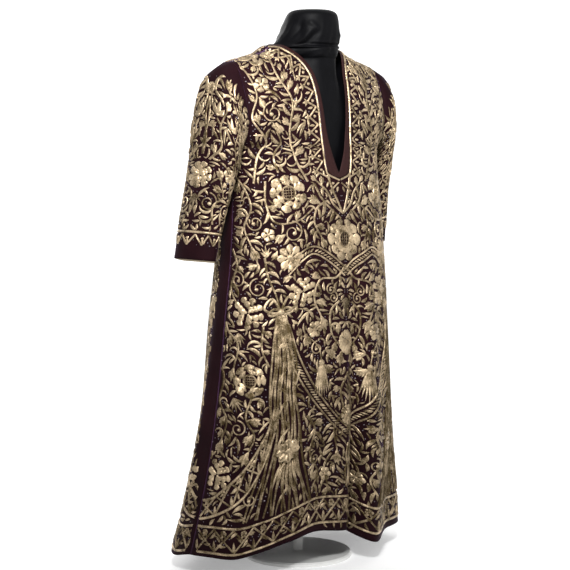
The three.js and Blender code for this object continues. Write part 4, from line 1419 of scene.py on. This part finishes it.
def form_piece(material):
    rows = np.array(FORM_ROWS, float)
    levels = np.linspace(0, len(rows) - 1, FORM_RINGS)
    height, half, centre, front, back, roundness, bib, bib_width = smooth_rows(
        np.arange(len(rows)), rows, levels
    ).T[:, :, None]
    angle = np.linspace(-math.pi, math.pi, FORM_AROUND, endpoint=False)[None]
    power = 2 / roundness
    across = np.sign(np.sin(angle)) * np.abs(np.sin(angle)) ** power
    ahead = np.sign(np.cos(angle)) * np.abs(np.cos(angle)) ** power
    depth = np.where(ahead > 0, front, back)
    hung = np.where(ahead > 0, bib, 0) * np.exp(-((across * half / bib_width) ** 4))
    points = np.stack([across * half, centre - ahead * depth - hung, height + 0 * angle], -1)
    axis = np.stack(np.broadcast_arrays(0.0, centre, height + 0 * angle), -1)
    outward = unit(points - axis, TINY)
    down = rows[-1, 0] - height
    lift = crease_lift(FORM_CREASES, angle * FORM_ROUND, down)
    # Under the shoulders the cloth lies close, so the folds stay between them.
    inside = smooth_step((CREASED_HALF - np.abs(points[..., 0])) / CREASED_FADE)
    free = inside * smooth_step(down / CREASED_TOP)
    points += outward * (lift * free)[..., None]
    count = FORM_RINGS * FORM_AROUND
    foot = np.arange(FORM_AROUND)
    caps = []
    for ring, hub, turn in ((foot, count, 1), (foot + count - FORM_AROUND, count + 1, -1)):
        caps.append(np.stack([ring, np.roll(ring, -1), np.full(FORM_AROUND, hub)], -1)[:, ::turn])
    hubs = [points[0].mean(axis=0), points[-1].mean(axis=0)]
    points = np.concatenate([points.reshape(-1, 3), hubs])
    quads = grid_quads(FORM_RINGS, FORM_AROUND, closed=True)
    piece = mesh_piece("form_cover", points, quads, material, slot="form_satin")
    close_ends(piece, caps)
    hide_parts("dress_form")
    return piece


def close_ends(piece, caps):
    """Adds fans of triangles to a piece."""
    shape = bmesh.new()
    shape.from_mesh(piece.data)
    shape.verts.ensure_lookup_table()
    for fan in caps:
        for corners in fan:
            shape.faces.new([shape.verts[int(i)] for i in corners]).smooth = True
    bmesh.ops.recalc_face_normals(shape, faces=shape.faces)
    shape.to_mesh(piece.data)
    shape.free()


# ---- materials ----
STITCH = 3.2  # one couched thread and the gap beside it
# Each pair is a finish where it is darkest and where it is palest.
VELVET = (0.0046, 0.0011, 0.0018), (0.0130, 0.0030, 0.0046)
GOLD = (0.060, 0.039, 0.013), (0.60, 0.465, 0.30)
SILK = (0.012, 0.004, 0.004), (0.026, 0.008, 0.007)
COTTON = (0.40, 0.32, 0.21), (0.55, 0.46, 0.33)
SATIN = (0.0008, 0.0008, 0.0010), (0.0022, 0.0022, 0.0030)
PAINT = (0.74, 0.74, 0.72), (0.80, 0.80, 0.78)
SEQUIN_SILVER = (0.22, 0.195, 0.21)
PAPER_WHITE = (0.88, 0.88, 0.88)
VELVET_SHEEN = (0.52, 0.22, 0.62)


class Value:
    """A socket that takes part in ordinary arithmetic."""

    def __init__(self, shade, socket):
        self.shade, self.socket = shade, socket

    def _math(self, operation, *values):
        node = self.shade.node("ShaderNodeMath", {"operation": operation}, dict(enumerate(values)))
        return Value(self.shade, node.outputs[0])

    def __add__(self, other):
        return self._math("ADD", self, other)

    def __sub__(self, other):
        return self._math("SUBTRACT", self, other)

    def __rsub__(self, other):
        return self._math("SUBTRACT", other, self)

    def __mul__(self, other):
        return self._math("MULTIPLY", self, other)

    __radd__, __rmul__ = __add__, __mul__

    def sine(self):
        return self._math("SINE", self)

    def clamped(self):
        return self._math("MINIMUM", self._math("MAXIMUM", self, 0.0), 1.0)


class Shade:
    """A material on the principled shader."""

    def __init__(self, name, **constants):
        self.material = bpy.data.materials.new(name)
        self.material.use_nodes = True
        self.tree = self.material.node_tree
        self.shader = self.tree.nodes["Principled BSDF"]
        for socket, value in constants.items():
            self.shader.inputs[socket.replace("_", " ")].default_value = value

    def node(self, kind, settings=None, values=None):
        node = self.tree.nodes.new(kind)
        for setting, value in (settings or {}).items():
            setattr(node, setting, value)
        for socket, value in (values or {}).items():
            self.join(node.inputs[socket], value)
        return node

    def join(self, socket, value):
        if isinstance(value, Value):
            self.tree.links.new(value.socket, socket)
        else:
            socket.default_value = value

    def set(self, socket, value):
        self.join(self.shader.inputs[socket], value)

    def place(self):
        return Value(self, self.node("ShaderNodeTexCoord").outputs["Object"])

    def noise(self, scale, detail, stretch=(1, 1, 1)):
        moved = self.node("ShaderNodeMapping", None, {"Vector": self.place(), "Scale": stretch})
        values = {"Vector": Value(self, moved.outputs[0]), "Scale": scale, "Detail": detail}
        return Value(self, self.node("ShaderNodeTexNoise", None, values).outputs[0])

    def mixed(self, share, first, second):
        settings = {"data_type": "RGBA"}
        values = {0: share, 6: (*first, 1), 7: (*second, 1)}
        return Value(self, self.node("ShaderNodeMix", settings, values).outputs[2])

    def bump(self, height, strength, distance):
        values = {"Height": height, "Strength": strength, "Distance": distance}
        self.set("Normal", Value(self, self.node("ShaderNodeBump", None, values).outputs[0]))


def velvet_material():
    shade = Shade("velvet", Roughness=0.75, Specular_IOR_Level=0.05,
                  Sheen_Weight=0.08, Sheen_Roughness=0.25)
    shade.set("Sheen Tint", (*VELVET_SHEEN, 1))
    nap = shade.noise(9, 4)
    pile = shade.noise(900, 1)
    share = (nap * 1.8 - 0.5 + pile * 0.25).clamped()
    shade.set("Base Color", shade.mixed(share, *VELVET))
    shade.bump(pile, 0.25, 0.0006)
    return shade.material


def gold_material():
    shade = Shade("gold_thread", Metallic=0.78)
    thread = shade.node("ShaderNodeUVMap", {"uv_map": "thread"})
    parts = shade.node("ShaderNodeSeparateXYZ", None, {0: Value(shade, thread.outputs[0])})
    along, across = Value(shade, parts.outputs[0]), Value(shade, parts.outputs[1])
    tone = Value(shade, shade.node("ShaderNodeAttribute", {"attribute_name": "tone"}).outputs["Fac"])
    stitch = ((along + across * 0.45) * (2 * math.pi / STITCH)).sine() * 0.5 + 0.5
    wear, lumps = shade.noise(45, 3), shade.noise(260, 2)
    # Painted shade: the gold is made darker towards the hem, standing in for light that falls off
    # lower down.
    spot = shade.node("ShaderNodeSeparateXYZ", None, {0: shade.place()})
    height = Value(shade, spot.outputs[2])
    share = (tone + wear * 2.0 + lumps * 1.3 + stitch * 0.4 + height * 0.22 - 2.12).clamped()
    shade.set("Base Color", shade.mixed(share, *GOLD))
    shade.set("Roughness", (0.5 - share * 0.14).clamped())
    shade.bump(stitch * 0.4 + lumps, 0.7, 0.0012)
    return shade.material


def sequin_material():
    shade = Shade("silver_sequin", Metallic=1.0, Roughness=0.35)
    shade.set("Base Color", (*SEQUIN_SILVER, 1))
    return shade.material


def binding_material():
    shade = Shade("binding_silk", Roughness=0.6, Specular_IOR_Level=0.1)
    rib = shade.noise(140, 2)
    shade.set("Base Color", shade.mixed(rib, *SILK))
    shade.bump(rib, 0.2, 0.0006)
    return shade.material


def lining_material():
    shade = Shade("lining_cotton", Roughness=0.9)
    weave = shade.noise(500, 2)
    shade.set("Base Color", shade.mixed(weave, *COTTON))
    shade.bump(weave, 0.2, 0.0004)
    return shade.material


def satin_material():
    shade = Shade("black_satin", Roughness=0.55, Specular_IOR_Level=0.06)
    weave = shade.noise(30, 3)
    shade.set("Base Color", shade.mixed(weave, *SATIN))
    shade.bump(shade.noise(26, 2, (1, 1, 0.35)), 0.25, 0.004)
    return shade.material


def paint_material():
    shade = Shade("stand_paint", Roughness=0.38)
    speck = shade.noise(120, 2)
    shade.set("Base Color", shade.mixed(speck, *PAINT))
    return shade.material


def paper_material(name, glow):
    shade = Shade(name, Roughness=0.95, Specular_IOR_Level=0.1)
    shade.set("Base Color", (*PAPER_WHITE, 1))
    shade.set("Emission Color", (1, 1, 1, 1))
    shade.set("Emission Strength", glow)
    return shade.material


# ---- the garment ----
NO_HOLE = -100
NAPE_EDGE = 118  # half the binding's length behind the neck points
FACING_GAP = 0.3
FACING_RINGS = 5
SLEEVE_BAND = 84  # sprigs end this far above the cuff's edge
PLAIN_CUFF = 34  # and sequins this far
PLAIN_HEM = 4  # sequins end this far above the foot of the hem band

front, back = panel_cloth(FRONT), panel_cloth(BACK)
slit_gaps = np.array([slit_along(front, drop) for drop in CLOTH_DROPS])
slit_gaps[slit_gaps == 0] = NO_HOLE
front.holes.append(lambda down: np.interp(down, front.downs, slit_gaps))
sleeves = {"right": sleeve_cloth(-1), "left": sleeve_cloth(1)}

velvet, gold, silver = velvet_material(), gold_material(), sequin_material()
lining = lining_material()

front_velvet = front_piece(front, velvet)
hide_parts("front")
back_velvet = back_piece(back, velvet)
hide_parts("back")
binding = binding_piece(binding_material())
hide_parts("neck_binding")
form_piece(satin_material())

threads = {}


def add_threads(name, cloth, *designs, parts=(("gold", *EVERYWHERE),), **limits):
    work = embroider(cloth, *designs, **limits)
    threads[name] = [work.sequin_piece(f"{name}_sequins", silver)]
    for part, begin, finish in parts:
        threads[name].append(work.gold_piece(f"{name}_{part}", gold, begin, finish))


front.plain = lambda down: np.interp(down, *zip(*FRONT_PLAIN))
back.plain = lambda down: np.interp(down, *zip(*BACK_PLAIN))
halves = (("chest_gold", EVERYWHERE[0], GOLD_DIVIDE), ("skirt_gold", GOLD_DIVIDE, EVERYWHERE[1]))
panel = {"end": HEM_FOOT[3][1] - PLAIN_HEM, "parts": halves}
add_threads("front", front, embroider_hem, embroider_neck, embroider_chest, embroider_skirt, **panel)
add_threads("back", back, embroider_hem, embroider_back, embroider_skirt, **panel)
for side, sign in (("right", -1), ("left", 1)):
    cloth = sleeves[side]
    velvet_tube = tube_piece(
        f"sleeve_{side}_velvet", cloth, sign, cloth.downs, VELVET_WALL, velvet, "velvet"
    )
    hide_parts(f"sleeve_{side}")
    end = cloth.downs[-1]
    facing = tube_piece(
        f"cuff_facing_{side}_cotton", cloth, sign, np.linspace(end - FACING_DEPTH, end, FACING_RINGS),
        FACING_WALL, lining, "lining", lift=-(VELVET_WALL + FACING_GAP),
    )
    droop(facing, sign)
    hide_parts(f"cuff_facing_{side}")
    limits = {"head": SLEEVE_HEAD, "foot": end - SLEEVE_BAND, "end": end - PLAIN_CUFF}
    add_threads(f"sleeve_{side}", cloth, embroider_sleeve, **limits)
    long = float(end) * METRE
    cloth_area(cloth)

for name, cloth, piece in (("front", front, front_velvet), ("back", back, back_velvet)):
    long = float(cloth.downs[-1] - cloth.downs[0]) * METRE
    cloth_area(cloth)
edge = 2 * (lengths_along(neck_edge(front))[-1] + NAPE_EDGE) * METRE

paint = paint_material()
for node in ("form_flange", "form_pole", "form_base"):
    bpy.data.objects[node].data.materials.clear()
    bpy.data.objects[node].data.materials.append(paint)

# ---- floor, light and camera ----
scene = bpy.context.scene
scene.view_settings.view_transform = "Standard"
PAPER_SIZE = 60
FLOOR_GLOW, WALL_GLOW, STUDIO_GLOW = 0.30, 0.75, 0.34
WALL_PLACE = (6.4, 6.4, 29.9)


def add_paper(name, glow, place, turned):
    bpy.ops.mesh.primitive_plane_add(size=PAPER_SIZE, location=place, rotation=turned)
    paper = bpy.context.object
    paper.name = name
    paper.data.materials.append(paper_material(name, glow))
    return paper


floor = add_paper("floor", FLOOR_GLOW, (0, 0, 0), (0, 0, 0))
wall = add_paper("backdrop", WALL_GLOW, WALL_PLACE, (math.pi / 2, 0, -math.pi / 4))

world = bpy.data.worlds.new("studio")
world.use_nodes = True
world.node_tree.nodes["Background"].inputs[0].default_value = (1, 1, 1, 1)
world.node_tree.nodes["Background"].inputs[1].default_value = STUDIO_GLOW
scene.world = world


def add_light(name, kind, place, aim, watts, **shape):
    light = bpy.data.lights.new(name, kind)
    light.energy = watts
    for setting, value in shape.items():
        setattr(light, setting, value)
    lamp = bpy.data.objects.new(name, light)
    lamp.location = place
    lamp.rotation_euler = (Vector(aim) - Vector(place)).to_track_quat("-Z", "Y").to_euler()
    scene.collection.objects.link(lamp)


add_light("key", "SPOT", (-2.2, -2.1, 2.9), (-0.05, 0, 1.33), 1220,
          spot_size=math.radians(43), spot_blend=1.0, shadow_soft_size=0.35)
add_light("behind", "AREA", (1.2, 3.6, 2.2), (0, 0, 0.9), 45, shape="DISK", size=1.6)
add_light("fill", "AREA", (1.8, -3.6, 1.9), (0, 0, 1.0), 34, shape="DISK", size=1.4)

VIEW_AZIMUTH = math.radians(-45)
VIEW_DISTANCE, VIEW_HEIGHT, AIM_HEIGHT = 4.5, 1.18, 0.754
ASIDE, LENS = -0.03575, 103.8
aside = Vector((math.cos(VIEW_AZIMUTH), math.sin(VIEW_AZIMUTH), 0))
away = Vector((math.sin(VIEW_AZIMUTH), -math.cos(VIEW_AZIMUTH), 0))
camera = bpy.data.objects.new("camera", bpy.data.cameras.new("camera"))
camera.location = away * VIEW_DISTANCE + aside * ASIDE + Vector((0, 0, VIEW_HEIGHT))
aim = aside * ASIDE + Vector((0, 0, AIM_HEIGHT))
camera.rotation_euler = (aim - camera.location).to_track_quat("-Z", "Y").to_euler()
camera.data.lens = LENS
scene.collection.objects.link(camera)
scene.camera = camera
